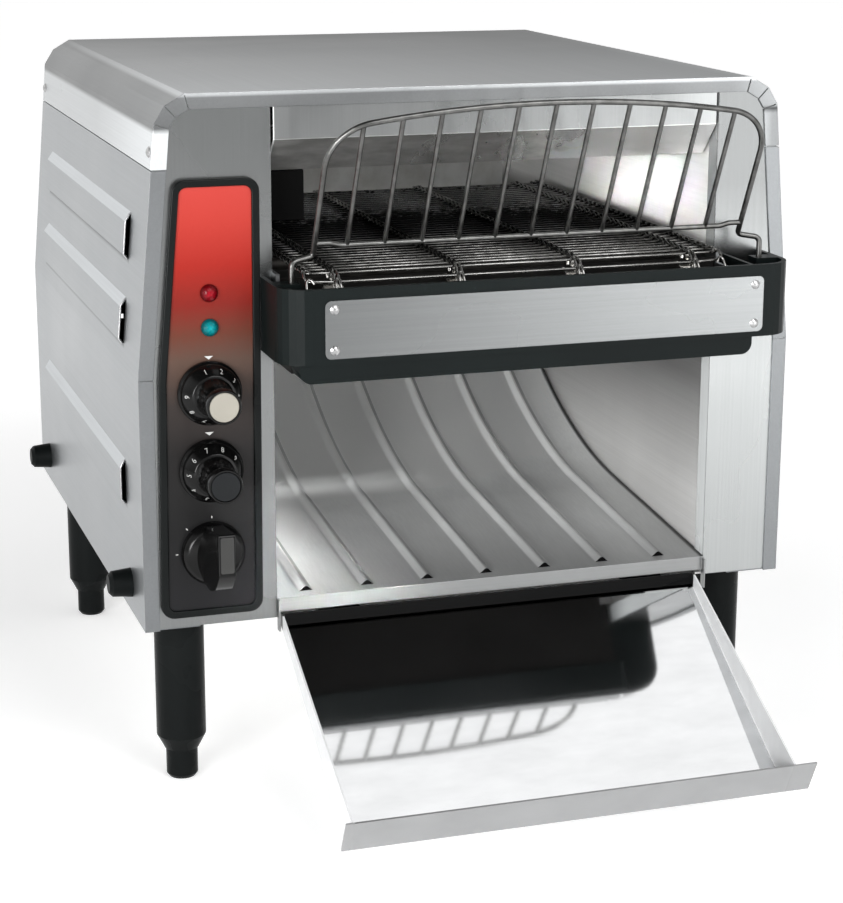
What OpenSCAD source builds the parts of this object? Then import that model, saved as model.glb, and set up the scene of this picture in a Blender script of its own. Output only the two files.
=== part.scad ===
// Countertop conveyor toaster: a sheet-metal casing on four legs, a wire belt between two banks
// of heater tubes, a curved slide under the belt, and a pull-off tray that catches the toast.
// Built in the casing's own frame: X to the right, Y to the back, Z up, zero at the centre of
// the casing's front bottom edge. stand() then puts it on its feet.

/* [Casing] */
// Width over the side panels
body_w = 368; // [360:1:400]
// Depth from the front face to the back
body_d = 349; // [345:1:380]
// Height of the casing without its legs
body_h = 282; // [279:1:300]
// Thickness of the stainless sheet
sheet = 1; // [0.8:0.1:1.2]
// Height at which the sides begin to lean in
shoulder_z = 136; // [125:1:140]
// Lean of the upper sides from vertical, in degrees
side_lean = 5.1; // [3:0.1:6]
// Width of the folded corner at the top
corner_w = 16; // [12:1:20]
// Height of the folded corner at the top
corner_h = 15; // [12:1:18]
// Height of the joint between side panel and top cover
seam_z = 243.5; // [236:0.5:250]
// Gap at the joint between side panel and top cover
seam_gap = 0.6; // [0.3:0.1:1.5]
// Width of the flange folded round the front edges
front_flange = 8; // [6:0.5:12]
// Width of the flange folded round the back edges
back_flange = 10; // [8:1:16]
// Width of the flange folded under the side panels
bottom_flange = 30; // [26:1:40]

/* [Side ribs] */
// Height of one pressed rib
rib_h = 26.5; // [22:0.5:30]
// How far a rib stands out
rib_out = 3; // [2:0.5:4]
// Distance of a rib's front end from the front face
rib_front = 44; // [38:1:60]
// Distance of a rib's back end from the back face
rib_back = 48; // [40:1:70]
// Heights of the ribs' lower edges
rib_zs = [58.5, 146.5, 191.5];

/* [Opening] */
// Distance of the opening's left edge from the casing's centre
open_left = 112; // [108:1:114]
// Width of the opening
open_w = 250; // [246:1:254]
// Depth of the columns' turned-in edges
return_d = 12; // [8:1:16]
// Height of the bend at the foot of the header panel
header_z = 257; // [252:1:260]
// Height of the heat deflector's lower edge
deflector_z = 239.5; // [236:0.5:244]
// How far back the deflector's lower edge lies
deflector_d = 17; // [12:1:24]
// Distance of the chamber's back plate from the casing's back
chamber_back_gap = 5; // [4:1:12]
// Height of the chamber's ceiling
ceiling_z = 262; // [260:1:268]

/* [Belt] */
// Height of the shafts above the casing's bottom
belt_z = 177; // [176:0.5:180]
// Distance of the front shaft before the front face
front_shaft_d = 20; // [18:1:21]
// Distance between the two shafts
belt_span = 265; // [250:1:272]
// Width of the belt
belt_w = 232; // [224:1:238]
// Radius at which the belt's wires run round the shafts
belt_r = 15; // [14:0.5:15.5]
// Radius of a belt wire
wire_r = 0.9; // [0.6:0.1:1.1]
// Distance from one belt wire to the next, near enough
wire_pitch = 7.4; // [6:0.1:10]
// Width of a row of belt links
link_w = 2.6; // [2:0.2:4]
// Thickness of a row of belt links
link_t = 1; // [0.6:0.1:1.4]
// Distance between two link rows and their sprockets
link_pitch = 66; // [60:1:68]
// Radius of the two belt shafts
shaft_r = 3.5; // [3:0.1:3.6]
// Teeth on one sprocket
sprocket_teeth = 12; // [8:1:16]
// Width of a sprocket's rim
sprocket_w = 3; // [2:0.5:4]
// Thickness of the conveyor's side plates
plate_t = 2; // [1.5:0.1:2.5]
// Radius of a rod that carries the belt
rail_r = 1.5; // [1:0.1:1.8]

/* [Heaters] */
// Radius of a heater tube
heater_r = 4; // [3:0.5:4.5]
// Heater tubes above the belt
upper_count = 6; // [4:1:7]
// Heater tubes inside the belt
lower_count = 5; // [3:1:5]
// Height of the upper heater tubes
upper_heater_z = 249; // [248:0.5:252]
// Distance from one heater tube to the next
heater_pitch = 36; // [28:1:38]
// Distance of the first heater tube behind the front face
heater_front = 44; // [40:1:48]
// Radius of a heater's ceramic collar
collar_r = 7; // [6:0.5:7.5]
// Width of the box over the heaters' leads
lead_cover_w = 23; // [16:1:30]
// Height of the box over the heaters' leads
lead_cover_h = 26; // [16:1:30]

/* [Slide] */
// Height of the slide's surface at its front edge
slide_z = 12; // [11:0.5:16]
// Slope of the slide's flat front part, in degrees
slide_slope = 5.5; // [4:0.5:7]
// Depth of the slide's flat front part
slide_flat = 130; // [110:5:150]
// Radius of the slide's curved back part
slide_r = 300; // [285:5:330]
// Height of the slide's folded front lip
slide_lip = 8; // [6:0.5:8.5]
// Beads along the slide
bead_count = 7; // [5:1:8]
// Distance from one bead to the next
bead_pitch = 34.5; // [28:0.5:35]
// Width of a bead
bead_w = 6; // [4:0.5:8]
// Height of a bead
bead_h = 2.6; // [1.5:0.1:3]
// How far the slide's ears reach below the casing
ear_drop = 6; // [4:0.5:8]

/* [Toast tray] */
// Length of the tray along its sides
tray_len = 149; // [130:1:160]
// Width of the tray over its walls
tray_w = 242; // [230:1:244]
// Slope of the tray's side walls, in degrees
tray_tilt = 26; // [22:0.5:28]
// Depth of the tray at its back
tray_back_h = 7; // [6:0.5:9]
// Depth of the tray at its front
tray_front_h = 20; // [16:0.5:22]
// Overhang of the front lip at the left
lip_left = 3; // [0:0.5:6]
// Overhang of the front lip at the right
lip_right = 12; // [4:0.5:14]
// Length of the tongues that hold the tray in the casing
tongue_len = 60; // [50:1:70]
// Width of a tongue
tongue_w = 24; // [18:1:30]

/* [Crumb tray] */
// Depth of the crumb tray's pan
pan_h = 7; // [5:0.5:7]
// Height of the crumb tray's floor
pan_z = 140.4; // [139.5:0.1:140.6]
// Length of the crumb tray behind the front face
pan_len = 232; // [200:1:240]
// Height of the crumb tray's handle bar
grip_h = 9.4; // [8:0.2:12]
// How far the handle bar reaches past the opening on each side
grip_over = 7; // [0:0.5:10]
// Radius of the handle bar's lower corners
grip_corner = 6; // [3:0.5:8]

/* [Shelf] */
// How far the shelf reaches past the opening's left edge
shelf_left = 6.5; // [5:0.5:12]
// How far the shelf reaches past the opening's right edge
shelf_right = 28; // [24:0.5:32]
// How far the shelf stands out before the front face
shelf_d = 43; // [42:0.5:48]
// Height of the shelf's underside
shelf_z = 148; // [148:0.5:150]
// Height of the shelf
shelf_h = 39; // [37:0.5:40]
// Thickness of the shelf's walls
shelf_wall = 2.5; // [2:0.1:3]
// Radius of the shelf's front corners
shelf_corner = 16; // [8:1:20]
// Width of the bare plate on the shelf's front
plate_w = 243; // [200:1:250]
// Height of the bare plate on the shelf's front
plate_h = 30; // [24:1:32]
// Radius of a rivet's head
rivet_r = 2.5; // [1.5:0.1:3]

/* [Bread guard] */
// Half the width of the arch between its feet
arch_half = 119; // [116:1:121]
// Height of the arch along its slope
arch_h = 81; // [60:1:84]
// Radius of the arch's shoulders
arch_shoulder = 26; // [16:1:30]
// Radius of the arch's shallow crown
crown_r = 577; // [480:1:900]
// Forward lean of the guard from vertical, in degrees
guard_lean = 26; // [20:1:30]
// Height of the guard's lower bar
guard_bar_z = 205; // [202:0.5:208]
// Radius of the arch wire
arch_r = 1.5; // [1.2:0.1:1.6]
// Radius of the upright bars
bar_r = 1.3; // [1:0.1:1.4]
// Upright bars
bar_count = 11; // [7:2:11]
// Distance from one upright bar to the next
bar_pitch = 20; // [16:0.5:20]
// How far the feet step out from the arch
foot_step = 12; // [10:0.5:14]

/* [Controls] */
// Distance of the dials' centre line from the middle of the control column
dial_off = 0.7; // [-1:0.1:2]
// Height of the speed dial
speed_z = 128.3; // [127:0.1:130]
// Height of the power dial
power_z = 86.8; // [84:0.1:88]
// Height of the function switch
function_z = 42; // [40:0.1:43]
// Radius of a dial's skirt
skirt_r = 17; // [14:0.5:18]
// Length of a dial
dial_len = 35; // [28:1:40]
// Radius of a dial's grip
grip_r = 9.2; // [8:0.1:10]
// Height of the power lamp
power_lamp_z = 180.5; // [178:0.5:184]
// Height of the ready lamp
ready_lamp_z = 162.5; // [159:0.5:164]
// Radius of a lamp's lens
lamp_r = 4.6; // [3.5:0.1:5]
// How far the frame round the controls stands out
bezel_out = 4; // [3:0.5:5]

/* [Legs] */
// Height of the legs with their feet
leg_h = 95; // [85:1:110]
// Radius of a leg
leg_r = 13.6; // [12:0.1:14]
// Height of a foot below its leg
foot_h = 17; // [12:1:20]
// Radius of a foot
foot_r = 8.7; // [8:0.1:9.5]
// Distance of a leg's centre from the casing's side
leg_side = 24; // [20:1:25]
// Distance of a leg's centre from the front or back
leg_end = 30; // [28:1:36]
// Radius of a foot's stud
stud_r = 4; // [3:0.1:5]

/* [Drive and cooling] */
// Pitch radius of the chain wheel
chain_r1 = 22; // [20:0.5:24]
// Pitch radius of the motor's sprocket
chain_r2 = 13; // [11:0.5:15]
// Height of the motor's shaft
motor_z = 85; // [84:1:92]
// Size of the gearbox
gearbox = 56; // [50:1:58]
// Room between the gearbox and the side panel's face
gearbox_room = 18; // [12:1:22]
// Radius of the motor
motor_r = 23; // [18:1:24]
// Length of the motor behind its gearbox
motor_len = 70; // [50:5:90]
// Room between the fan's frame and each side of the bay it stands in
fan_room = 5; // [4.5:0.5:8]
// Height of the fan's centre
fan_z = 112; // [104:1:116]
// Radius of the cord inlet's bore
cord_r = 4.5; // [3.5:0.1:5]
// Length of the gland outside the back panel
gland_len = 18; // [12:1:24]
// Height of the gland
gland_z = 26; // [22:1:40]
// Distance of the control board behind the front face
board_y = 60; // [50:1:80]
// Length of the control board
board_len = 110; // [90:1:120]
// Height of the control board's lower edge
board_z = 150; // [145:1:160]
// Height of the control board
board_h = 75; // [60:1:80]
// Length of a side bumper
bumper_len = 12.5; // [8:0.5:16]
// Radius of a side bumper
bumper_r = 8; // [6:0.5:9]

/* [Hidden] */

// clearances
eps = 0.01;          // overshoot of a cut past a face
run_gap = 0.06;      // radial gap of a running fit
free_gap = 0.3;      // gap between pieces that move past each other
far = 1000;          // longer than anything here

// casing
half_w = body_w / 2;
side_top_z = body_h - corner_h;
corner_mid = [0.35 * corner_w, 0.6 * corner_h];
open_x0 = -open_left;
open_x1 = open_x0 + open_w;
chamber_x = (open_x0 + open_x1) / 2;
wall_x0 = open_x0 - 2 * sheet;
wall_x1 = open_x1 + 2 * sheet;
chamber_y = body_d - chamber_back_gap;
back_y = body_d - 2 * sheet;
bay_x = (wall_x0 - half_w) / 2;
fan_size = wall_x0 + half_w - 2 * fan_room;

// belt and shafts
front_shaft_y = -front_shaft_d;
rear_shaft_y = front_shaft_y + belt_span;
belt_turn = belt_r * PI;
belt_path = 2 * (belt_span + belt_turn);
wire_count = round(belt_path / wire_pitch);
bush_r = shaft_r + 0.9;
tooth_r = belt_r - wire_r - free_gap;
rail_z = belt_z + belt_r - wire_r - free_gap - rail_r;

// slide
arc_y = slide_flat - slide_r * sin(slide_slope);
arc_z = slide_z + slide_flat * tan(slide_slope) + slide_r * cos(slide_slope);

// toast tray
tray_z = 3.5;
tray_x0 = open_x0 + 2;
tray_x1 = tray_x0 + tray_w;
tongue_z = 2 * sheet + free_gap;
tongue_xs = [tray_x0 + 20, tray_x1 - 20 - tongue_w];

// shelf and guard
shelf_x0 = open_x0 - shelf_left;
shelf_x1 = open_x1 + shelf_right;
shelf_x = (shelf_x0 + shelf_x1) / 2;
shelf_top = shelf_z + shelf_h;
shelf_y = -shelf_d;
name_x = shelf_x + 1.5;
name_z = shelf_z + 3 + plate_h / 2;
ledge_h = 4.2;
ledge_end = 3.6;
socket_d = 3.2;
foot_y = -20;
foot_xs = [shelf_x - arch_half - foot_step, shelf_x + arch_half + foot_step];

// controls
overlay_y = -1.6;
dial_x = (half_w - open_x0) / 2 - dial_off;
dial_y = overlay_y - free_gap;
spindle_r = 3;
bezel_left = [[20 - half_w, 239], [open_x0 - 7, 239], [open_x0 - 8.5, 7], [8.6 - half_w, 7], [10.3 - half_w, 135.5]];
overlay_edge = [[23.4 - half_w, 235], [open_x0 - 11.2, 235], [open_x0 - 12.6, 11], [12.8 - half_w, 11],
    [14.4 - half_w, 135]];

// legs, drive and cooling
leg_xs = [-half_w + leg_side, half_w - leg_side];
leg_ys = [leg_end, body_d - leg_end];
chain_x = wall_x0 - 10;
chain_w = 5;
chain_t = 4;
motor_y = rear_shaft_y;
gland_wall = 3;

// how far the whole toaster reaches before and behind the front face, and its middle
front_reach = tray_len * cos(tray_tilt);
rear_reach = body_d + gland_len;
mid_y = (rear_reach - front_reach) / 2;

// ---------- helpers ----------

// puts the casing's frame on the toaster's feet, centred front to back
module stand() translate([0, -mid_y, leg_h]) children();

// a block between two values along each axis
module block(x, y, z) translate([x[0], y[0], z[0]]) cube([x[1] - x[0], y[1] - y[0], z[1] - z[0]]);

// extrudes a front-view outline (x, z) from y0 back to y1
module front_prism(y0, y1) translate([0, y1, 0]) rotate([90, 0, 0]) linear_extrude(y1 - y0) children();

// extrudes a side-view outline (y, z) from x0 across to x1
module side_prism(x0, x1) translate([x0, 0, 0]) rotate([90, 0, 90]) linear_extrude(x1 - x0) children();

// round bars along X, Y and Z
module bar_x(r, x0, x1, y, z) translate([x0, y, z]) rotate([0, 90, 0]) cylinder(r = r, h = x1 - x0, $fn = 48);
module bar_y(r, y0, y1, x, z) translate([x, y0, z]) rotate([-90, 0, 0]) cylinder(r = r, h = y1 - y0, $fn = 48);
module bar_z(r, z0, z1, x, y) translate([x, y, z0]) cylinder(r = r, h = z1 - z0, $fn = 48);

// a round rod from a to b
module rod(a, b, r) {
    v = b - a;
    translate(a) rotate([0, acos(v[2] / norm(v)), atan2(v[1], v[0])]) cylinder(r = r, h = norm(v), $fn = 48);
}

// a solid of revolution round the Y axis at x, z; its outline is (radius, length to the front)
module turned(x, y, z) translate([x, y, z]) rotate([90, 0, 0]) rotate_extrude($fn = 96) children();

// an outline with its corners rounded to radius r
function rounded(pts, r) = [
    for (i = [0 : len(pts) - 1])
        let (
            b = pts[i],
            u = unit(pts[(i + len(pts) - 1) % len(pts)] - b),
            v = unit(pts[(i + 1) % len(pts)] - b),
            half = acos(u * v) / 2,
            c = b + unit(u + v) * r / sin(half),
            a0 = angle(b + u * r / tan(half) - c),
            turn = short_turn(angle(b + v * r / tan(half) - c) - a0)
        )
        for (k = [0 : 6]) c + r * [cos(a0 + turn * k / 6), sin(a0 + turn * k / 6)]
];
function unit(v) = v / norm(v);
function angle(v) = atan2(v[1], v[0]);
function short_turn(a) = a > 180 ? a - 360 : a < -180 ? a + 360 : a;
function reversed(list) = [for (i = [len(list) - 1 : -1 : 0]) list[i]];
function mirrored(list) = [for (p = reversed(list)) [-p[0], p[1]]];

// half width of the casing's outside at height z, below the folded corner
function side_x(z) = half_w - max(0, z - shoulder_z) * tan(side_lean);

// the right half of the casing's outline above height z, set in by t
function corner_points() = [
    [side_x(side_top_z), side_top_z],
    [side_x(side_top_z) - corner_mid[0], side_top_z + corner_mid[1]],
    [side_x(side_top_z) - corner_w, body_h]
];
function facet(a, b) = atan2(a[0] - b[0], b[1] - a[1]);
function miter(a0, a1, t) = t / cos((a1 - a0) / 2) * [cos((a0 + a1) / 2), sin((a0 + a1) / 2)];
function upper_half(t, z) =
    let (
        p = corner_points(),
        a = [side_lean, facet(p[0], p[1]), facet(p[1], p[2]), 90]
    )
    concat([[side_x(z) - t / cos(side_lean), z]], [for (i = [0 : 2]) p[i] - miter(a[i], a[i + 1], t)]);
function lower_half(t, z) = [
    [half_w - t, 0],
    [half_w - t, shoulder_z - t * tan(side_lean / 2)],
    [side_x(z) - t / cos(side_lean), z]
];

// the casing's whole outline, set in by t
function casing_outline(t) =
    let (right = concat([lower_half(t, seam_z)[0], lower_half(t, seam_z)[1]], upper_half(t, seam_z)))
    concat(right, mirrored(right));

// ---------- casing ----------

module side_panel() {
    skin = concat(lower_half(0, seam_z), reversed(lower_half(sheet, seam_z)));
    front = concat(lower_half(0, seam_z), reversed(lower_half(front_flange, seam_z)));
    back = concat(lower_half(0, seam_z), reversed(lower_half(back_flange, seam_z)));
    difference() {
        union() {
            front_prism(0, body_d) polygon(skin);
            front_prism(0, sheet) polygon(front);
            front_prism(body_d - sheet, body_d) polygon(back);
            block([half_w - bottom_flange, half_w], [2 * sheet, body_d], [0, sheet]);
            for (z = rib_zs) rib(z, 0, rib_front, body_d - rib_back);
        }
        for (z = rib_zs) rib(z, sheet, rib_front - sheet, body_d - rib_back - sheet);
        // relief slit at the shoulder's bend
        block([half_w - front_flange - eps, half_w - sheet], [-eps, sheet + eps],
            [shoulder_z - 0.3, shoulder_z + 0.3]);
        leg_holes();
    }
}

// one pressed rib, moved in by t, from y0 back to y1
module rib(z, t, y0, y1) {
    lean = z > shoulder_z ? side_lean : 0;
    front_prism(y0, y1)
        translate([side_x(z) - t, z]) rotate(lean)
            polygon([[-sheet / 2, 0], [rib_out, 3], [rib_out, rib_h - 6], [-sheet / 2, rib_h]]);
}

module side_panel_left() color("silver") stand() mirror([1, 0, 0]) side_panel();
module side_panel_right() color("silver") stand() side_panel();

module top_cover() {
    z0 = seam_z + seam_gap;
    outer = concat(upper_half(0, z0), mirrored(upper_half(0, z0)));
    inner = concat(upper_half(sheet, z0), mirrored(upper_half(sheet, z0)));
    front = concat(upper_half(front_flange, z0), mirrored(upper_half(front_flange, z0)));
    back = concat(upper_half(back_flange, z0), mirrored(upper_half(back_flange, z0)));
    color("silver") stand() difference() {
        union() {
            front_prism(0, body_d) polygon(concat(outer, reversed(inner)));
            front_prism(0, sheet) polygon(concat(outer, reversed(front)));
            front_prism(body_d - sheet, body_d) polygon(concat(outer, reversed(back)));
        }
        // relief slits at the corner's bends
        for (side = [-1, 1], p = corner_points())
            translate([side * p[0], 0, p[1]]) rotate([0, side * slit_angle(p), 0])
                block([-0.3, 0.3], [-eps, sheet + eps], [-front_flange - 1, -sheet]);
        for (side = [-1, 1], y = screw_ys) bar_x(1.6, side > 0 ? 0 : -half_w, side > 0 ? half_w : 0, y, screw_z);
    }
}
function slit_angle(p) =
    let (q = corner_points())
    p == q[0] ? 90 - (side_lean + facet(q[0], q[1])) / 2
        : p == q[1] ? 90 - (facet(q[0], q[1]) + facet(q[1], q[2])) / 2
        : 90 - (facet(q[1], q[2]) + 90) / 2;
screw_ys = [7, body_d - 7];
screw_z = seam_z + 9;

module base_pan() color("gainsboro") stand() {
    lip_h = 9;
    difference() {
        union() {
            block([-half_w + sheet, half_w - sheet], [2 * sheet, back_y], [sheet, 2 * sheet]);
            block([-half_w + sheet, wall_x0], [2 * sheet, 3 * sheet], [sheet, lip_h]);
            block([wall_x1, half_w - sheet], [2 * sheet, 3 * sheet], [sheet, lip_h]);
            for (x = tongue_xs) tongue_clip(x);
        }
        leg_holes();
    }
}

// bridge over one of the toast tray's tongues
module tongue_clip(x) {
    clip_y = 40;
    clip_d = 8;
    top = tongue_z + sheet + free_gap;
    difference() {
        block([x - free_gap - sheet, x + tongue_w + free_gap + sheet], [clip_y, clip_y + clip_d],
            [2 * sheet - eps, top + sheet]);
        block([x - free_gap, x + tongue_w + free_gap], [clip_y - eps, clip_y + clip_d + eps],
            [2 * sheet, top]);
    }
}

module leg_holes() for (x = leg_xs, y = leg_ys) bar_z(stud_r + free_gap, -eps, 3 * sheet, x, y);

module rear_panel() color("silver") stand() difference() {
    intersection() {
        front_prism(back_y, back_y + sheet) polygon(casing_outline(sheet));
        block([-far, far], [0, far], [2 * sheet, far]);
    }
    // louvre slots over the fan and over the drive bay
    for (k = [0 : 5]) louvre(bay_x, fan_z - 20 + 8 * k, 44);
    for (k = [0 : 4]) louvre(chamber_x, 40 + 12 * k, 120);
    for (k = [0 : 4]) louvre(chamber_x, ceiling_z - 60 + 12 * k, 120);
    bar_y(gland_thread_r, back_y - eps, body_d, bay_x, gland_z);
}
module louvre(x, z, w) block([x - w / 2, x + w / 2], [back_y - eps, body_d + eps], [z - 1.5, z + 1.5]);
gland_thread_r = cord_r + gland_wall;

module front_column_left() color("darkgray") stand() difference() {
    union() {
        intersection() {
            front_prism(sheet, 2 * sheet) polygon(casing_outline(sheet));
            block([-far, open_x0], [0, far], [sheet, far]);
        }
        block([open_x0 - sheet, open_x0], [sheet, return_d], [2 * sheet, body_h - front_flange]);
    }
    for (z = [speed_z, power_z, function_z]) bar_y(bush_hole_r, 0, 3 * sheet, -dial_x, z);
    for (z = [power_lamp_z, ready_lamp_z]) bar_y(lamp_r, 0, 3 * sheet, -dial_x + 1, z);
}
bush_hole_r = spindle_r + 1.5;

module front_column_right() color("darkgray") stand() {
    intersection() {
        front_prism(sheet, 2 * sheet) polygon(casing_outline(sheet));
        block([open_x1, far], [0, far], [sheet, far]);
    }
    block([open_x1, open_x1 + sheet], [sheet, return_d], [2 * sheet, body_h - front_flange]);
}

module header_panel() color("lightgray") stand() {
    side_gap = 1.5;
    side_prism(open_x0 + side_gap, open_x1 - side_gap) polygon([
        [sheet, body_h - sheet], [sheet, header_z], [deflector_d, deflector_z],
        [deflector_d + sheet, deflector_z + sheet], [2 * sheet, header_z + sheet / 2],
        [2 * sheet, body_h - sheet]]);
}

// chamber wall with the runner that carries the crumb tray; x is its inner face, side +1 points in
module inner_wall(x, side) {
    runner_w = 8;
    runner_z = pan_z - free_gap - sheet;
    wall = side > 0 ? [x - sheet, x] : [x, x + sheet];
    runner = side > 0 ? [x, x + runner_w] : [x - runner_w, x];
    block(wall, [2 * sheet, chamber_y], [2 * sheet, ceiling_z]);
    block(runner, [return_d + 1, pan_len + 6], [runner_z, runner_z + sheet]);
}

module heater_holes(z, count, start) for (k = [0 : count - 1])
    bar_x(collar_r, -far / 2, far / 2, start + k * heater_pitch, z);

module inner_wall_left() color("gainsboro") stand() difference() {
    inner_wall(open_x0 - sheet, 1);
    heater_holes(upper_heater_z, upper_count, heater_front);
    bar_x(bush_r + 1, wall_x0 - 1, open_x0, rear_shaft_y, belt_z);
}
module inner_wall_right() color("gainsboro") stand() difference() {
    inner_wall(open_x1 + sheet, -1);
    heater_holes(upper_heater_z, upper_count, heater_front);
}

module chamber_back() color("gainsboro") stand() block([wall_x0, wall_x1], [chamber_y, chamber_y + sheet],
    [belt_z - 60, ceiling_z]);

module upper_reflector() color("gainsboro") stand() block([wall_x0, wall_x1], [return_d + 3, chamber_y + sheet],
    [ceiling_z, ceiling_z + sheet]);

// ---------- heaters ----------

lower_heater_y = rear_shaft_y - 50 - (lower_count - 1) * heater_pitch;
module heater_tubes(z, count, start, x0, x1) for (k = [0 : count - 1])
    bar_x(heater_r, x0, x1, start + k * heater_pitch, z);

module upper_heaters() color("dimgray") stand()
    heater_tubes(upper_heater_z, upper_count, heater_front, wall_x0 - 8, wall_x1 + 8);
module lower_heaters() color("dimgray") stand()
    heater_tubes(belt_z, lower_count, lower_heater_y, open_x0 + 0.2, open_x1 - 0.2);

// ceramic collar with a flange, on the inner side of a plate at x; side +1 points in
module collar(x, y, z, side, plate) {
    flange_t = 2;
    tube = side > 0 ? [x - plate - 3, x + flange_t] : [x - flange_t, x + plate + 3];
    flange = side > 0 ? [x, x + flange_t] : [x - flange_t, x];
    difference() {
        union() {
            bar_x(collar_r, tube[0], tube[1], y, z);
            bar_x(collar_r + 1.5, flange[0], flange[1], y, z);
        }
        bar_x(heater_r + run_gap, tube[0] - 1, tube[1] + 1, y, z);
    }
}
module heater_collars() color("ivory") stand() for (k = [0 : upper_count - 1]) {
    collar(open_x0 - sheet, heater_front + k * heater_pitch, upper_heater_z, 1, sheet);
    collar(open_x1 + sheet, heater_front + k * heater_pitch, upper_heater_z, -1, sheet);
}

// reflector under the lower heaters, folded up in front of them
module lower_reflector() color("gainsboro") stand() {
    xs = [open_x0 + plate_t, open_x1 - plate_t];
    y0 = front_shaft_y + belt_r + 1;
    z0 = belt_z - belt_r + 5;
    block(xs, [y0, rear_shaft_y - 32], [z0, z0 + sheet]);
    block(xs, [y0, y0 + sheet], [z0, z0 + 18]);
}

// box over the upper heaters' leads, on the chamber's left wall
module lead_cover() color("black") stand() difference() {
    x0 = open_x0 - sheet;
    y0 = deflector_d + 2;
    z1 = deflector_z - 0.7;
    block([x0, x0 + lead_cover_w], [y0, y0 + 42], [z1 - lead_cover_h, z1]);
    block([x0 - 1, x0 + lead_cover_w - sheet], [y0 + sheet, y0 + 42 - sheet],
        [z1 - lead_cover_h + sheet, z1 - sheet]);
}

// ---------- conveyor ----------

// point on the belt's path, at distance s from the front of the top run
function belt_point(s) =
    s < belt_span ? [front_shaft_y + s, belt_z + belt_r]
    : s < belt_span + belt_turn ? turn_point(rear_shaft_y, 90 - (s - belt_span) / belt_r * 180 / PI)
    : s < 2 * belt_span + belt_turn ? [rear_shaft_y - (s - belt_span - belt_turn), belt_z - belt_r]
    : turn_point(front_shaft_y, -90 - (s - 2 * belt_span - belt_turn) / belt_r * 180 / PI);
function turn_point(y, a) = [y + belt_r * cos(a), belt_z + belt_r * sin(a)];

// stadium round both shafts
module belt_loop(r) {
    translate([front_shaft_y, belt_z]) circle(r = r, $fn = 96);
    translate([rear_shaft_y, belt_z]) circle(r = r, $fn = 96);
    translate([front_shaft_y, belt_z - r]) square([belt_span, 2 * r]);
}

link_xs = [for (k = [-1.5 : 1 : 1.5]) chamber_x + k * link_pitch];
link_columns = concat(link_xs, [chamber_x - belt_w / 2 + link_w, chamber_x + belt_w / 2 - link_w]);

// the belt is made up of four runs, parted midway between two wires: along the top, round the
// rear shaft, along the bottom and round the front shaft
run_ends = [for (s = [0, belt_span, belt_span + belt_turn, 2 * belt_span + belt_turn])
    round(s * wire_count / belt_path)];
run_ys = [for (k = run_ends) belt_point(k * belt_path / wire_count)[0]];
module run_wires(k0, k1) for (k = [k0 : k1 - 1]) {
    p = belt_point((k + 0.5) * belt_path / wire_count);
    translate([chamber_x - belt_w / 2, p[0], p[1]]) rotate([0, 90, 0]) cylinder(r = wire_r, h = belt_w, $fn = 16);
}
module run_links() for (x = link_columns) side_prism(x - link_w / 2, x + link_w / 2) intersection() {
    difference() {
        belt_loop(belt_r + link_t / 2);
        belt_loop(belt_r - link_t / 2);
    }
    children();
}
module conveyor_belt() color("dimgray") stand() {
    gap = 0.1;
    run_wires(run_ends[0], run_ends[1]);
    run_links() translate([run_ys[0], belt_z]) square([run_ys[1] - run_ys[0], far]);
    run_wires(run_ends[1], run_ends[2]);
    run_links() {
        translate([run_ys[1] + gap, belt_z]) square(far);
        translate([run_ys[2] + gap, belt_z - far]) square(far + eps);
    }
    run_wires(run_ends[2], run_ends[3]);
    run_links() translate([run_ys[3], belt_z - far]) square([run_ys[2] - run_ys[3], far]);
    run_wires(run_ends[3], wire_count);
    run_links() {
        translate([run_ys[0] - gap - far, belt_z]) square(far);
        translate([run_ys[3] - gap - far, belt_z - far]) square(far + eps);
    }
}

module frame_plate(x0) difference() {
    nose_z = belt_z + bush_r + 1;
    union() {
        block([x0, x0 + plate_t], [-6, rear_shaft_y + bush_r + 5], [belt_z - 11, belt_z + 12]);
        block([x0, x0 + plate_t], [front_shaft_y - bush_r - 2, 0], [belt_z - 9, nose_z]);
    }
    for (y = [front_shaft_y, rear_shaft_y]) bar_x(bush_r, x0 - 1, x0 + plate_t + 1, y, belt_z);
    heater_holes_low(x0);
}
module heater_holes_low(x0) for (k = [0 : lower_count - 1])
    bar_x(heater_r + run_gap, x0 - 1, x0 + plate_t + 1, lower_heater_y + k * heater_pitch, belt_z);

plate_xs = [open_x0, open_x1 - plate_t];
module conveyor_frame() color("gray") stand() for (x = plate_xs) frame_plate(x);

module shaft_bushes() color("goldenrod") stand() for (x = plate_xs, y = [front_shaft_y, rear_shaft_y])
    difference() {
        bar_x(bush_r, x, x + plate_t, y, belt_z);
        bar_x(shaft_r + run_gap, x - 1, x + plate_t + 1, y, belt_z);
    }

module belt_rails() color("silver") stand() {
    bar_h = 4;
    bar_d = 5;
    for (x = [chamber_x - link_pitch, chamber_x, chamber_x + link_pitch])
        bar_y(rail_r, front_shaft_y + belt_r + 1, rear_shaft_y - belt_r - 1, x, rail_z);
    for (y = [8, rear_shaft_y - 25])
        block([open_x0 + plate_t, open_x1 - plate_t], [y, y + bar_d],
            [rail_z - rail_r - bar_h + 0.6, rail_z - rail_r + 0.6]);
}

module drive_shaft() color("silver") stand()
    bar_x(shaft_r, chain_x - chain_w - 1, open_x1 - 0.1, rear_shaft_y, belt_z);
module idler_shaft() color("silver") stand()
    bar_x(shaft_r, open_x0 + 0.1, open_x1 - 0.1, front_shaft_y, belt_z);

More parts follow.
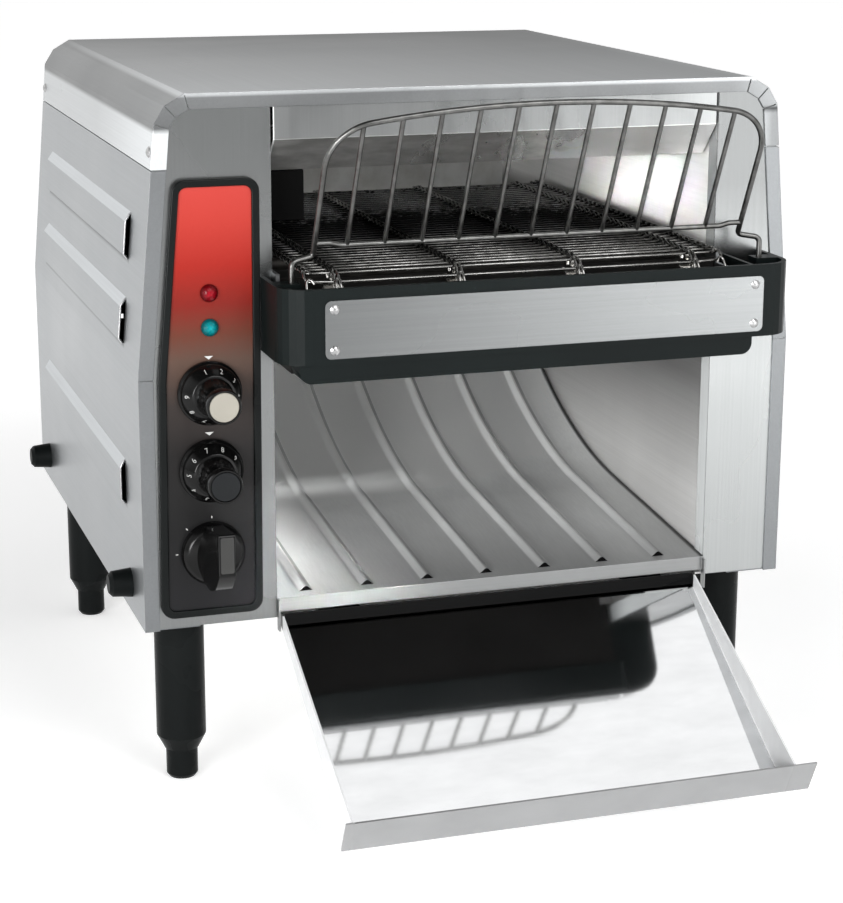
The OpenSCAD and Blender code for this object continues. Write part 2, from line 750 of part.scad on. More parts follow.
module sprocket() {
    hub_r = 8;
    hub_w = 10;
    rotate([0, 90, 0]) difference() {
        union() {
            linear_extrude(sprocket_w, center = true) {
                circle(r = tooth_r - 2.5, $fn = 72);
                for (k = [0 : sprocket_teeth - 1]) rotate(k * 360 / sprocket_teeth)
                    translate([0, -1.2]) square([tooth_r - 0.2, 2.4]);
            }
            cylinder(r = hub_r, h = hub_w, center = true, $fn = 48);
        }
        cylinder(r = shaft_r, h = 2 * hub_w, center = true, $fn = 48);
    }
}
module drive_sprockets() color("silver") stand()
    for (x = link_xs) translate([x, rear_shaft_y, belt_z]) sprocket();
module idler_sprockets() color("silver") stand()
    for (x = link_xs) translate([x, front_shaft_y, belt_z]) sprocket();

// ---------- drive ----------

// outline of a chain round two wheels of radius r1 and r2, a distance d apart along Y
module chain_outline(r1, r2, d) {
    a = asin((r1 - r2) / d);
    circle(r = r1, $fn = 96);
    translate([0, -d]) circle(r = r2, $fn = 72);
    polygon([[r1 * cos(a), -r1 * sin(a)], [r2 * cos(a), -d - r2 * sin(a)],
        [-r2 * cos(a), -d - r2 * sin(a)], [-r1 * cos(a), -r1 * sin(a)]]);
}

module drive_chain() color("dimgray") stand()
    side_prism(chain_x - chain_w / 2, chain_x + chain_w / 2) translate([motor_y, belt_z]) difference() {
        chain_outline(chain_r1 + chain_t / 2, chain_r2 + chain_t / 2, belt_z - motor_z);
        chain_outline(chain_r1 - chain_t / 2, chain_r2 - chain_t / 2, belt_z - motor_z);
    }

module chain_wheel() color("silver") stand() difference() {
    union() {
        bar_x(chain_r1 - chain_t / 2 - free_gap, chain_x - 1.5, chain_x + 1.5, rear_shaft_y, belt_z);
        bar_x(9, chain_x - 4, chain_x + 4, rear_shaft_y, belt_z);
    }
    bar_x(shaft_r, chain_x - 5, chain_x + 5, rear_shaft_y, belt_z);
}

output_r = 4;
gearbox_x1 = chain_x - 12;
gearbox_x0 = -half_w + gearbox_room;
module motor_sprocket() color("silver") stand() {
    bar_x(chain_r2 - chain_t / 2 - free_gap, chain_x - 1.5, chain_x + 1.5, motor_y, motor_z);
    bar_x(output_r, gearbox_x1 - 14, chain_x + 4, motor_y, motor_z);
}

module gear_motor() color("slategray") stand() difference() {
    union() {
        block([gearbox_x0, gearbox_x1], [motor_y - gearbox / 2, motor_y + gearbox / 2],
            [motor_z - gearbox / 2, motor_z + gearbox / 2]);
        bar_y(motor_r, motor_y - gearbox / 2 - motor_len, motor_y - gearbox / 2 + 1, bay_x, motor_z);
    }
    bar_x(output_r + run_gap, gearbox_x1 - 15, gearbox_x1 + 1, motor_y, motor_z);
}

module motor_bracket() color("gray") stand() {
    bracket_t = 2;
    y0 = motor_y - gearbox / 2 + 2;
    y1 = motor_y + gearbox / 2 + 6;
    zs = [motor_z - gearbox / 2, motor_z + gearbox / 2];
    difference() {
        block([gearbox_x1, gearbox_x1 + bracket_t], [y0, y1], zs);
        bar_x(output_r + 3, gearbox_x1 - 1, gearbox_x1 + bracket_t + 1, motor_y, motor_z);
    }
    block([gearbox_x1, wall_x0], [y0, y0 + bracket_t], zs);
    block([gearbox_x1, wall_x0], [y1 - bracket_t, y1], zs);
}

fan_t = 20;
fan_y = back_y - fan_t;
fan_bore = fan_size / 2 - 2;
module fan_frame() color("dimgray") stand() difference() {
    union() {
        difference() {
            block([bay_x - fan_size / 2, bay_x + fan_size / 2], [fan_y, back_y],
                [fan_z - fan_size / 2, fan_z + fan_size / 2]);
            bar_y(fan_bore, fan_y - 1, back_y + 1, bay_x, fan_z);
        }
        for (a = [0, 90]) translate([bay_x, 0, fan_z]) rotate([0, a, 0])
            block([-fan_bore - 1, fan_bore + 1], [fan_y, fan_y + 2], [-2, 2]);
        bar_y(9, fan_y, fan_y + 4, bay_x, fan_z);
    }
    bar_y(2 + run_gap, fan_y - 1, fan_y + 5, bay_x, fan_z);
}

module fan_rotor() color("black") stand() {
    bar_y(10, fan_y + 5, fan_y + 17, bay_x, fan_z);
    bar_y(2, fan_y + 0.5, fan_y + 6, bay_x, fan_z);
    for (k = [0 : 6]) translate([bay_x, fan_y + 11, fan_z]) rotate([0, k * 360 / 7, 0])
        translate([9, 0, 0]) rotate([35, 0, 0]) block([0, fan_bore - 10], [-6, 6], [-0.6, 0.6]);
}

// ---------- slide, trays ----------

// side view of a layer that follows the slide, from t0 to t1 above its surface
module slide_layer(t0, t1, y0, y1) intersection() {
    union() {
        polygon([[0, slide_z + t0], [slide_flat, slide_z + t0 + slide_flat * tan(slide_slope)],
            [slide_flat, slide_z + t1 + slide_flat * tan(slide_slope)], [0, slide_z + t1]]);
        intersection() {
            translate([arc_y, arc_z]) difference() {
                circle(r = slide_r - t0, $fn = 360);
                circle(r = slide_r - t1, $fn = 360);
            }
            translate([slide_flat - 0.05, 0]) square([chamber_y - slide_flat, arc_z - 60]);
        }
    }
    translate([y0, 0]) square([y1 - y0, far]);
}

module toast_slide() color("lightgray") stand() {
    bead_front = 6;
    bead_back = 40;
    side_prism(open_x0, open_x1) slide_layer(-sheet, 0, 0, chamber_y);
    block([open_x0, open_x1], [0, sheet], [slide_z - slide_lip, slide_z - sheet / 2]);
    for (k = [0 : bead_count - 1]) {
        x = chamber_x - 4 + (k - (bead_count - 1) / 2) * bead_pitch;
        side_prism(x - bead_w / 2, x + bead_w / 2)
            slide_layer(-sheet / 2, bead_h, bead_front, chamber_y - bead_back);
    }
    for (x = [open_x0, open_x1 - sheet]) block([x, x + sheet], [-3, sheet], [-ear_drop, slide_z - sheet / 2]);
}

// the toast tray is drawn level and then tilted about its top back edge
module toast_tray() color("silver") stand() {
    translate([0, 0, tray_z]) rotate([tray_tilt, 0, 0]) {
        side_prism(tray_x0, tray_x1) polygon([[0, -tray_back_h], [-tray_len, -tray_front_h],
            [-tray_len, -tray_front_h + sheet], [0, -tray_back_h + sheet]]);
        for (x = [tray_x0, tray_x1 - sheet]) side_prism(x, x + sheet)
            polygon([[0, -tray_back_h], [-tray_len, -tray_front_h], [-tray_len, 0], [0, 0]]);
        block([tray_x0 - lip_left, tray_x1 + lip_right], [-tray_len, -tray_len + sheet],
            [-tray_front_h, 0]);
    }
    // back wall and the tongues that reach into the casing
    back_z = tray_z - tray_back_h * cos(tray_tilt);
    block([tray_x0, tray_x1], [-2, -1], [back_z - 0.5, tray_z]);
    for (x = tongue_xs) block([x, x + tongue_w], [-2, tongue_len], [tongue_z, tongue_z + sheet]);
}

pan_x0 = open_x0 + 3;
pan_x1 = open_x1 - 3;
pan_y0 = -24;
module crumb_tray() color("silver") stand() difference() {
    block([pan_x0, pan_x1], [pan_y0, pan_len], [pan_z, pan_z + pan_h]);
    block([pan_x0 + sheet, pan_x1 - sheet], [pan_y0 + sheet, pan_len - sheet], [pan_z + sheet, far]);
}

module crumb_tray_handle() color("black") stand() {
    z0 = shelf_z - free_gap - grip_h;
    z1 = shelf_z - free_gap;
    x0 = pan_x0;
    x1 = pan_x1 + grip_over;
    front_prism(shelf_y + 1.5, pan_y0) difference() {
        translate([x0, z0]) square([x1 - x0, z1 - z0]);
        for (side = [0, 1]) corner_cut(side == 0 ? x0 : x1, z0, side == 0 ? 1 : -1);
    }
}
module corner_cut(x, z, side) difference() {
    translate([side > 0 ? x - 1 : x - grip_corner, z - 1]) square([grip_corner + 1, grip_corner + 1]);
    translate([x + side * grip_corner, z + grip_corner]) circle(r = grip_corner, $fn = 48);
}

// ---------- shelf and guard ----------

module shelf_outline(t) polygon(rounded([
    [shelf_x0 + t, shelf_y + t], [shelf_x1 - t, shelf_y + t],
    [shelf_x1 - t, sheet + 20], [shelf_x0 + t, sheet + 20]], shelf_corner - t));

module front_shelf() color([0.12, 0.13, 0.13]) stand() intersection() {
    block([-far, far], [-far, sheet], [0, far]);
    difference() {
        union() {
            difference() {
                translate([0, 0, shelf_z]) linear_extrude(shelf_h) shelf_outline(0);
                translate([0, 0, shelf_z + shelf_wall]) linear_extrude(shelf_h) shelf_outline(shelf_wall);
            }
            // ledges with the sockets for the guard's feet
            block([shelf_x0 + 1, foot_xs[0] + ledge_end], [foot_y - 5, foot_y + 5], [shelf_top - ledge_h, shelf_top]);
            block([foot_xs[1] - ledge_end, shelf_x1 - 1], [foot_y - 5, foot_y + 5],
                [shelf_top - ledge_h, shelf_top]);
            // end partition and gussets behind the front wall
            block([open_x1 + 4, open_x1 + 6], [shelf_y + 1, sheet], [shelf_z + 1, shelf_top - 1]);
            for (k = [-3 : 3]) block([chamber_x + k * 33, chamber_x + k * 33 + 1.6],
                [shelf_y + 1, shelf_y + shelf_wall + 2.6], [shelf_top - 20, shelf_top - 1.5]);
        }
        for (x = foot_xs) bar_z(arch_r + free_gap, shelf_top - socket_d, shelf_top, x, foot_y);
    }
}

name_y = shelf_y - 0.8;
module nameplate() color("lightgray") stand() difference() {
    front_prism(name_y, shelf_y) polygon(rounded([
        [name_x - plate_w / 2, name_z - plate_h / 2], [name_x + plate_w / 2, name_z - plate_h / 2],
        [name_x + plate_w / 2, name_z + plate_h / 2], [name_x - plate_w / 2, name_z + plate_h / 2]], 3));
    for (p = rivet_points) bar_y(1.2, name_y - 1, shelf_y + 1, p[0], p[1]);
}
rivet_points = [for (sx = [-1, 1], sz = [-1, 1])
    [name_x + sx * (plate_w / 2 - 5), name_z + sz * (plate_h / 2 - 4.5)]];
module nameplate_rivets() color("silver") stand() for (p = rivet_points) {
    turned(p[0], name_y, p[1]) dome(rivet_r, 1);
    bar_y(1.2, name_y - eps, shelf_y, p[0], p[1]);
}

// half of a low dome's outline: radius r, height h
module dome(r, h) {
    sphere_r = (r * r + h * h) / (2 * h);
    intersection() {
        translate([0, h - sphere_r]) circle(r = sphere_r, $fn = 720);
        square([r, h]);
    }
}

// half the angle of the arch's crown, and the height where its shoulders meet its legs
crown_half = asin((arch_half - arch_shoulder) / (crown_r - arch_shoulder));
shoulder_u = arch_h - crown_r + (crown_r - arch_shoulder) * cos(crown_half);
// height of the arch at a distance x from its middle
function arch_u(x) = abs(x) <= crown_r * sin(crown_half)
    ? arch_h - crown_r + sqrt(pow(crown_r, 2) - pow(x, 2))
    : shoulder_u + sqrt(pow(arch_shoulder, 2) - pow(abs(x) - arch_half + arch_shoulder, 2));

// a bent wire in the flat: centre, radius, first angle and sweep
module arc_wire(x, y, r, a, sweep) translate([x, y, 0]) rotate(a)
    rotate_extrude(angle = sweep, $fn = 360) translate([r, 0]) circle(r = arch_r, $fn = 48);

module bread_guard() color("darkgray") stand() {
    leg_u = -6;
    knuckle_r = arch_r + 0.05;
    knee_z = guard_bar_z + leg_u * cos(guard_lean);
    step_z = knee_z - 2;
    // the bars are butted to the wires that they are welded to
    weld_gap = 0.05;
    low_r = (arch_r + bar_r) / 2;
    // arch, upright bars and lower bar, drawn flat and then leaned forward
    translate([shelf_x, foot_y, guard_bar_z]) rotate([90 + guard_lean, 0, 0]) {
        arc_wire(0, arch_h - crown_r, crown_r, 90 - crown_half, 2 * crown_half);
        for (side = [-1, 1]) translate([side * crown_r * sin(crown_half), arch_u(crown_r * sin(crown_half)), 0])
            sphere(r = knuckle_r, $fn = 48);
        arc_wire(arch_half - arch_shoulder, shoulder_u, arch_shoulder, 0, 90 - crown_half);
        arc_wire(arch_shoulder - arch_half, shoulder_u, arch_shoulder, 90 + crown_half, 90 - crown_half);
        for (x = [-arch_half, arch_half]) {
            bar_y(arch_r, leg_u, shoulder_u, x, 0);
            translate([x, shoulder_u, 0]) sphere(r = knuckle_r, $fn = 48);
        }
        for (k = [0 : bar_count - 1]) {
            x = (k - (bar_count - 1) / 2) * bar_pitch - 1.7;
            top = min(arch_u(x - bar_r), arch_u(x + bar_r)) - 1.07 * arch_r;
            bar_y(bar_r, low_r + weld_gap, top - weld_gap, x, 0);
        }
        bar_x(low_r, arch_r + weld_gap - arch_half, arch_half - arch_r - weld_gap, 0, 0);
    }
    // feet that step out and drop into the shelf's sockets
    for (side = [0, 1]) {
        knee = [shelf_x + (2 * side - 1) * arch_half, foot_y - leg_u * sin(guard_lean), knee_z];
        step = [foot_xs[side], foot_y, step_z];
        translate(knee) sphere(r = knuckle_r, $fn = 48);
        rod(knee, step, arch_r);
        translate(step) sphere(r = knuckle_r, $fn = 48);
        bar_z(arch_r, shelf_top - socket_d + free_gap, step_z, foot_xs[side], foot_y);
    }
}

// ---------- controls ----------

module control_bezel() color("black") stand() front_prism(sheet - bezel_out, sheet) difference() {
    polygon(rounded(bezel_left, 7));
    polygon(rounded(overlay_edge, 4));
}

module control_overlay() color("firebrick") stand() difference() {
    front_prism(overlay_y, sheet) polygon(rounded(overlay_edge, 4));
    for (z = [speed_z, power_z, function_z]) bar_y(bush_hole_r, overlay_y - 1, 2, -dial_x, z);
    for (z = [power_lamp_z, ready_lamp_z]) bar_y(lamp_r, overlay_y - 1, 2, -dial_x + 1, z);
}

module lamp(z) {
    turned(-dial_x + 1, overlay_y - 1, z) dome(lamp_r, 2.5);
    bar_y(lamp_r, overlay_y - 1, 8, -dial_x + 1, z);
    bar_y(lamp_r - 1.5, 7, 22, -dial_x + 1, z);
}
module power_lamp() color("red") stand() lamp(power_lamp_z);
module ready_lamp() color("teal") stand() lamp(ready_lamp_z);

// outline of a dial: a numbered skirt, a waist and a grip, with room for its cap
module dial_outline() {
    rim = 3;
    polygon([[0, 0], [skirt_r, 0], [skirt_r, rim], [skirt_r - 5, rim + 3.5], [grip_r + 0.6, rim + 8],
        [grip_r - 0.6, rim + 14], [grip_r - 0.6, dial_len - 8], [grip_r, dial_len - 3],
        [grip_r, dial_len - 0.8], [grip_r - 0.7, dial_len - 0.8], [grip_r - 0.7, dial_len - 1.6],
        [0, dial_len - 1.6]]);
}
module dial(z) {
    turned(-dial_x, dial_y, z) dial_outline();
    bar_y(spindle_r, dial_y - eps, 13, -dial_x, z);
}
module dial_cap(z) turned(-dial_x, dial_y - dial_len + 1.6, z) {
    square([grip_r - 0.8, 1]);
    translate([0, 1]) dome(grip_r - 0.8, 0.6);
}
module speed_knob() color("black") stand() dial(speed_z);
module power_knob() color("black") stand() dial(power_z);
module speed_cap() color("ivory") stand() dial_cap(speed_z);
module power_cap() color("black") stand() dial_cap(power_z);

module function_knob() color("black") stand() {
    bar_w = 9;
    disc_t = 7;
    turned(-dial_x, dial_y, function_z) polygon([[0, 0], [skirt_r, 0], [skirt_r, disc_t - 3],
        [skirt_r - 3, disc_t], [0, disc_t]]);
    translate([-dial_x, dial_y, function_z]) side_prism(-bar_w / 2, bar_w / 2) polygon([
        [-1, skirt_r - 2], [-disc_t - 8, skirt_r - 3], [-dial_len, skirt_r - 6], [-dial_len, -4],
        [-dial_len + 10, -skirt_r + 1], [-14, -skirt_r - 3], [-4, -skirt_r - 3], [-1, -skirt_r]]);
    bar_y(spindle_r, dial_y - eps, 13, -dial_x, function_z);
}

// threaded bush and can of a panel control, with a bore for the spindle
module control_can(z) difference() {
    union() {
        children();
        bar_y(bush_hole_r - 0.1, overlay_y + 0.4, 3, -dial_x, z);
    }
    bar_y(spindle_r + run_gap, overlay_y - 1, 14, -dial_x, z);
}
module dial_controls() color("steelblue") stand() for (z = [speed_z, power_z])
    control_can(z) bar_y(12, 2 * sheet, 17, -dial_x, z);
module function_switch() color("dimgray") stand()
    control_can(function_z) block([-dial_x - 15, -dial_x + 15], [2 * sheet, 34],
        [function_z - 15, function_z + 15]);

// ---------- legs, bumpers, screws ----------

module legs() color([0.1, 0.1, 0.1]) stand() for (x = leg_xs, y = leg_ys) {
    neck_h = 8;
    z_low = foot_h - leg_h;
    difference() {
        union() {
            bar_z(leg_r, z_low + neck_h, 0, x, y);
            translate([x, y, z_low]) cylinder(r1 = foot_r + 0.8, r2 = leg_r, h = neck_h, $fn = 48);
            bar_z(stud_r, -eps, 8, x, y);
        }
        bar_z(stud_r + run_gap, z_low - 1, z_low + 34, x, y);
    }
}

module foot(x, y) color([0.08, 0.08, 0.08]) stand() {
    rim = 2;
    bar_z(foot_r, rim - leg_h, foot_h - leg_h, x, y);
    translate([x, y, -leg_h]) cylinder(r1 = foot_r - 1.5, r2 = foot_r, h = rim, $fn = 48);
    bar_z(stud_r, foot_h - leg_h - eps, foot_h - leg_h + 32, x, y);
}
module foot_front_left() foot(leg_xs[0], leg_ys[0]);
module foot_front_right() foot(leg_xs[1], leg_ys[0]);
module foot_rear_left() foot(leg_xs[0], leg_ys[1]);
module foot_rear_right() foot(leg_xs[1], leg_ys[1]);

bumper_ys = [37.5, body_d - 33];
bumper_z = 16.5;
module side_bumpers() color([0.07, 0.07, 0.07]) stand() for (side = [-1, 1], y = bumper_ys)
    translate([side * half_w, y, bumper_z]) rotate([0, side * 90, 0]) rotate_extrude($fn = 72)
        polygon([[0, 0], [bumper_r, 0], [bumper_r - 1, bumper_len - 2], [bumper_r - 3, bumper_len],
            [0, bumper_len]]);

module cover_screws() color("gray") stand() for (side = [-1, 1], y = screw_ys)
    translate([side * side_x(screw_z), y, screw_z]) rotate([0, side * (90 - side_lean), 0]) {
        rotate_extrude($fn = 48) dome(3, 1.6);
        translate([0, 0, -3]) cylinder(r = 1.5, h = 3 + eps, $fn = 24);
    }

// ---------- supply and wiring ----------

module cord_gland() color("black") stand() difference() {
    union() {
        bar_y(gland_thread_r, back_y - 8, back_y + sheet, bay_x, gland_z);
        bar_y(gland_thread_r + 3, back_y + sheet, body_d + 6, bay_x, gland_z);
        bar_y(gland_thread_r, body_d + 6 - eps, body_d + gland_len, bay_x, gland_z);
        bar_y(gland_thread_r + 3, back_y - 5, back_y, bay_x, gland_z);
    }
    bar_y(cord_r, back_y - 9, body_d + gland_len + 1, bay_x, gland_z);
}

module control_board() color("darkgreen") stand() {
    x = wall_x0 - 6;
    ys = [board_y, board_y + board_len];
    zs = [board_z, board_z + board_h];
    block([x - 1.6, x], ys, zs);
    for (y = [ys[0] + 6, ys[1] - 6], z = [zs[0] + 6, zs[1] - 6]) bar_x(3, x - eps, wall_x0, y, z);
    block([x - 16, x - 1.5], [ys[0] + 10, ys[0] + 40], [zs[0] + 10, zs[0] + 40]);
    for (y = [ys[1] - 40, ys[1] - 20]) bar_x(7, x - 18, x - 1.5, y, (zs[0] + zs[1]) / 2);
}

base_pan();
side_panel_left();
side_panel_right();
top_cover();
rear_panel();
front_column_left();
front_column_right();
header_panel();
inner_wall_left();
inner_wall_right();
chamber_back();
upper_reflector();
lower_reflector();
lead_cover();
upper_heaters();
lower_heaters();
heater_collars();
control_bezel();
control_overlay();
power_lamp();
ready_lamp();
speed_knob();
speed_cap();
power_knob();
power_cap();
function_knob();
dial_controls();
function_switch();
front_shelf();
nameplate();
nameplate_rivets();
bread_guard();
conveyor_belt();
conveyor_frame();
belt_rails();
shaft_bushes();
drive_shaft();
drive_sprockets();
chain_wheel();
idler_shaft();
idler_sprockets();
drive_chain();
motor_sprocket();
gear_motor();
motor_bracket();
fan_frame();
fan_rotor();
toast_slide();
toast_tray();
crumb_tray();
crumb_tray_handle();
legs();
foot_front_left();
foot_front_right();
foot_rear_left();
foot_rear_right();
side_bumpers();
cover_screws();
cord_gland();
control_board();
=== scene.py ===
"""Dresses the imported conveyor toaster: finishes on the CAD solids, and finer pieces for the belt,
guard, dials, slide, ribs and print. Lengths below are in millimetres in the casing's own frame (X
right, Y back, Z up, zero at the front bottom edge), unless they go straight into a material, the
camera's stage or a light, which are in metres of the row frame; at() turns one into the other."""

import math

import bpy
from mathutils import Matrix, Vector


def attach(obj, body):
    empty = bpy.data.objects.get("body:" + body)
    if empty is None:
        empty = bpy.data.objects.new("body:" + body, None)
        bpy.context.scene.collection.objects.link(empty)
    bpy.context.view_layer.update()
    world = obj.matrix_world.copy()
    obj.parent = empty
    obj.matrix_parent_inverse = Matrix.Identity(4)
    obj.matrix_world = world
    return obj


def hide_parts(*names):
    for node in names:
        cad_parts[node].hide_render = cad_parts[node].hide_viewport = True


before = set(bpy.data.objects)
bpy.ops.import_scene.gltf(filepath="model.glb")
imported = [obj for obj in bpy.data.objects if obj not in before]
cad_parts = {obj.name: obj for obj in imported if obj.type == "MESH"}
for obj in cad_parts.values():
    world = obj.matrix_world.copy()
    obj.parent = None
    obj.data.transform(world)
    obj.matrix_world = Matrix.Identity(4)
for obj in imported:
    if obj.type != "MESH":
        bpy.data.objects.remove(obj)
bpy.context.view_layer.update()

MID_Y, LEG_H = 116.53984, 95.0
RIB_ZS = (58.5, 146.5, 191.5)
OPEN_X0, OPEN_X1 = -112.0, 138.0
LAMP_X, LAMP_Y, RED_LAMP_Z, TEAL_LAMP_Z = -146.3, -4.5, 180.5, 162.5
SPEED_Z, POWER_Z, FUNC_Z = 128.3, 86.8, 42.0
TRAY_TILT = math.radians(26)


def row_y(y):
    return (y - MID_Y) / 1000


def row_z(z):
    return (z + LEG_H) / 1000


def at(p):
    """A point of the casing's frame, in mm, as a point of the row frame, in metres."""
    return Vector((p[0] / 1000, row_y(p[1]), row_z(p[2])))


# ---------------------------------------------------------------- materials

BRUSH_DEPTH, EDGE_R = 0.00002, 0.5


def set_range(node, *limits):
    for key, value in zip(("From Min", "From Max", "To Min", "To Max"), limits):
        node.inputs[key].default_value = value


def fill_ramp(node, stops):
    items = node.color_ramp.elements
    while len(items) < len(stops):
        items.new(0.5)
    for item, (place, color) in zip(items, stops):
        item.position = place
        item.color = (*color, 1)


class Nodes:
    """A procedural material: one Principled shader with textures in object coordinates."""

    def __init__(self, name, color, rough, metal=0.0, **sockets):
        self.mat = bpy.data.materials.new(name)
        self.mat.use_nodes = True
        self.tree = self.mat.node_tree
        self.shader = self.tree.nodes["Principled BSDF"]
        self.color, self.rough = color, rough
        self.shader.inputs["Base Color"].default_value = (*color, 1)
        self.shader.inputs["Roughness"].default_value = rough
        self.shader.inputs["Metallic"].default_value = metal
        for key, value in sockets.items():
            self.shader.inputs[key.replace("_", " ")].default_value = value

    def new(self, kind, **values):
        node = self.tree.nodes.new(kind)
        for key, value in values.items():
            setattr(node, key, value)
        return node

    def link(self, a, b):
        self.tree.links.new(a, b)

    def coords(self, stretch=None):
        where = self.new("ShaderNodeTexCoord").outputs["Object"]
        if stretch is None:
            return where
        mapping = self.new("ShaderNodeMapping")
        mapping.inputs["Scale"].default_value = stretch
        self.link(where, mapping.inputs["Vector"])
        return mapping.outputs["Vector"]

    def axis(self, letter):
        split = self.new("ShaderNodeSeparateXYZ")
        self.link(self.coords(), split.inputs[0])
        return split.outputs[letter]

    def facing(self, letter):
        """Component of the surface's own normal."""
        split = self.new("ShaderNodeSeparateXYZ")
        self.link(self.new("ShaderNodeTexCoord").outputs["Normal"], split.inputs[0])
        return split.outputs[letter]

    def noise(self, stretch, detail, rough=0.55):
        """Noise value; stretch gives its scale along each axis."""
        tex = self.new("ShaderNodeTexNoise")
        tex.inputs["Scale"].default_value = 1.0
        tex.inputs["Detail"].default_value = detail
        tex.inputs["Roughness"].default_value = rough
        self.link(self.coords(stretch), tex.inputs["Vector"])
        return tex.outputs["Fac"]

    def lines(self, grain):
        """Fine brushed lines that run along one axis."""
        return self.noise([6.0 if letter == grain else 900.0 for letter in "XYZ"], 4, 0.7)

    def range(self, value, lo, hi, to_lo, to_hi):
        node = self.new("ShaderNodeMapRange")
        set_range(node, lo, hi, to_lo, to_hi)
        self.link(value, node.inputs["Value"])
        return node.outputs["Result"]

    def vary(self, noise, lo, hi):
        """A factor from lo to hi along a noise value."""
        return self.range(noise, 0.3, 0.7, lo, hi)

    def math(self, op, a, b):
        node = self.new("ShaderNodeMath", operation=op)
        self.link(a, node.inputs[0])
        if isinstance(b, (int, float)):
            node.inputs[1].default_value = b
        else:
            self.link(b, node.inputs[1])
        return node.outputs[0]

    def ramp(self, value, stops):
        node = self.new("ShaderNodeValToRGB")
        fill_ramp(node, stops)
        self.link(value, node.inputs["Fac"])
        return node.outputs["Color"]

    def base(self, color_socket):
        self.link(color_socket, self.shader.inputs["Base Color"])
        return self

    def shade(self, *values):
        """Base colour times a product of values."""
        total = values[0]
        for value in values[1:]:
            total = self.math("MULTIPLY", total, value)
        node = self.new("ShaderNodeVectorMath", operation="SCALE")
        node.inputs[0].default_value = self.color
        self.link(total, node.inputs["Scale"])
        return self.base(node.outputs[0])

    def tint(self, value, amount):
        """Darkens and lightens the base colour by that share along a noise value."""
        dark = [c * (1 - amount) for c in self.color]
        light = [min(1, c * (1 + amount)) for c in self.color]
        return self.base(self.ramp(value, [(0.3, dark), (0.7, light)]))

    def gloss(self, value, spread):
        rough = self.vary(value, self.rough - spread, self.rough + spread)
        self.link(rough, self.shader.inputs["Roughness"])
        return self

    def bump(self, value, depth, strength=1.0, edge=0.0):
        node = self.new("ShaderNodeBump")
        if edge:
            bend = self.new("ShaderNodeBevel", samples=4)
            bend.inputs["Radius"].default_value = edge / 1000
            self.link(bend.outputs["Normal"], node.inputs["Normal"])
        node.inputs["Distance"].default_value = depth
        node.inputs["Strength"].default_value = strength
        self.link(value, node.inputs["Height"])
        self.link(node.outputs["Normal"], self.shader.inputs["Normal"])
        return self


def brushed(name, color, rough, grain, line, reflection_sweep=(1.0, 1.0)):
    """Brushed sheet: fine lines along one axis, broad smudges in the gloss. The sweep pair (tone at X
    -130, tone at X 160) paints one end brighter than the other, a painted reflection gradient."""
    m = Nodes(name, color, rough, 1.0)
    lines = m.lines(grain)
    clouds = m.noise((9, 9, 9), 3)
    # painted reflection: brighter towards one end along X, as the sweep pair sets
    painted_tone = m.range(m.axis("X"), -0.13, 0.16, *reflection_sweep)
    m.shade(painted_tone, m.vary(lines, 1 - line, 1 + line), m.vary(clouds, 0.96, 1.04))
    m.gloss(clouds, 0.05)
    return m.bump(lines, BRUSH_DEPTH, 1.0, EDGE_R).mat


def column_steel(name, painted_tone, high):
    """Front column: brushed face, duller bare steel on the flanges folded in behind it. The face's tone
    and its darkening towards the top (high) are painted light, so the two columns are lit and shaded
    copies of one steel.
    """
    m = Nodes(name, (0.97, 1.0, 1.0), 0.27, 1.0)
    lines = m.lines("Z")
    clouds = m.noise((9, 9, 9), 3)
    inside = m.range(m.axis("Y"), row_y(1.2), row_y(1.8), 0.0, 1.0)
    # painted light: tone sets each column face's brightness, high darkens it towards the top
    m.shade(m.range(inside, 0.0, 1.0, painted_tone, 0.78), m.vary(lines, 0.95, 1.05),
            m.vary(clouds, 0.96, 1.04),
            m.range(m.axis("Z"), row_z(120), row_z(225), 1.0, high))
    m.link(m.range(inside, 0.0, 1.0, 1.0, 0.3), m.shader.inputs["Metallic"])
    m.gloss(clouds, 0.05)
    return m.bump(lines, BRUSH_DEPTH, 1.0, EDGE_R).mat


def side_steel():
    """Side panel: brushed along its depth, with painted light: rib slopes facing up are painted
    brighter and those facing down darker, the front flange is painted darker (the left panel's more),
    and a painted shadow line runs under each rib."""
    m = Nodes("side_steel", (0.34, 0.354, 0.364), 0.34, 1.0)
    lines = m.lines("Y")
    clouds = m.noise((9, 9, 9), 3)
    # painted light: surfaces facing up painted brighter, those facing down darker
    upper_slope_light = m.range(m.facing("Z"), 0.22, 0.38, 1.0, 1.5)
    lower_slope_shade = m.range(m.facing("Z"), -0.6, -0.3, 0.40, 1.0)
    # painted shade: the front flange painted darker, the left panel's more than the right's
    flange = m.range(m.facing("Y"), -0.95, -0.8, 0.0, 1.0)
    painted_tone = m.range(m.axis("X"), -0.05, 0.05, 0.52, 0.62)
    plain = m.math("MAXIMUM", painted_tone, flange)
    ends = m.math("MAXIMUM", m.range(m.axis("Y"), row_y(40), row_y(44), 1.0, 0.0),
                  m.range(m.axis("Y"), row_y(300), row_y(306), 0.0, 1.0))
    # painted shadow: a dark line just under each rib, along the ribs' length only
    rib_shadow = None
    for z in RIB_ZS:
        away = m.math("ABSOLUTE", m.math("SUBTRACT", m.axis("Z"), row_z(z + 1.0)), 0.0)
        line = m.math("MAXIMUM", m.range(away, 0.0008, 0.0026, 0.42, 1.0), ends)
        rib_shadow = line if rib_shadow is None else m.math("MULTIPLY", rib_shadow, line)
    m.shade(upper_slope_light, lower_slope_shade, plain, rib_shadow, m.vary(lines, 0.95, 1.05), m.vary(clouds, 0.96, 1.04))
    m.gloss(clouds, 0.05)
    return m.bump(lines, BRUSH_DEPTH, 1.0, EDGE_R).mat


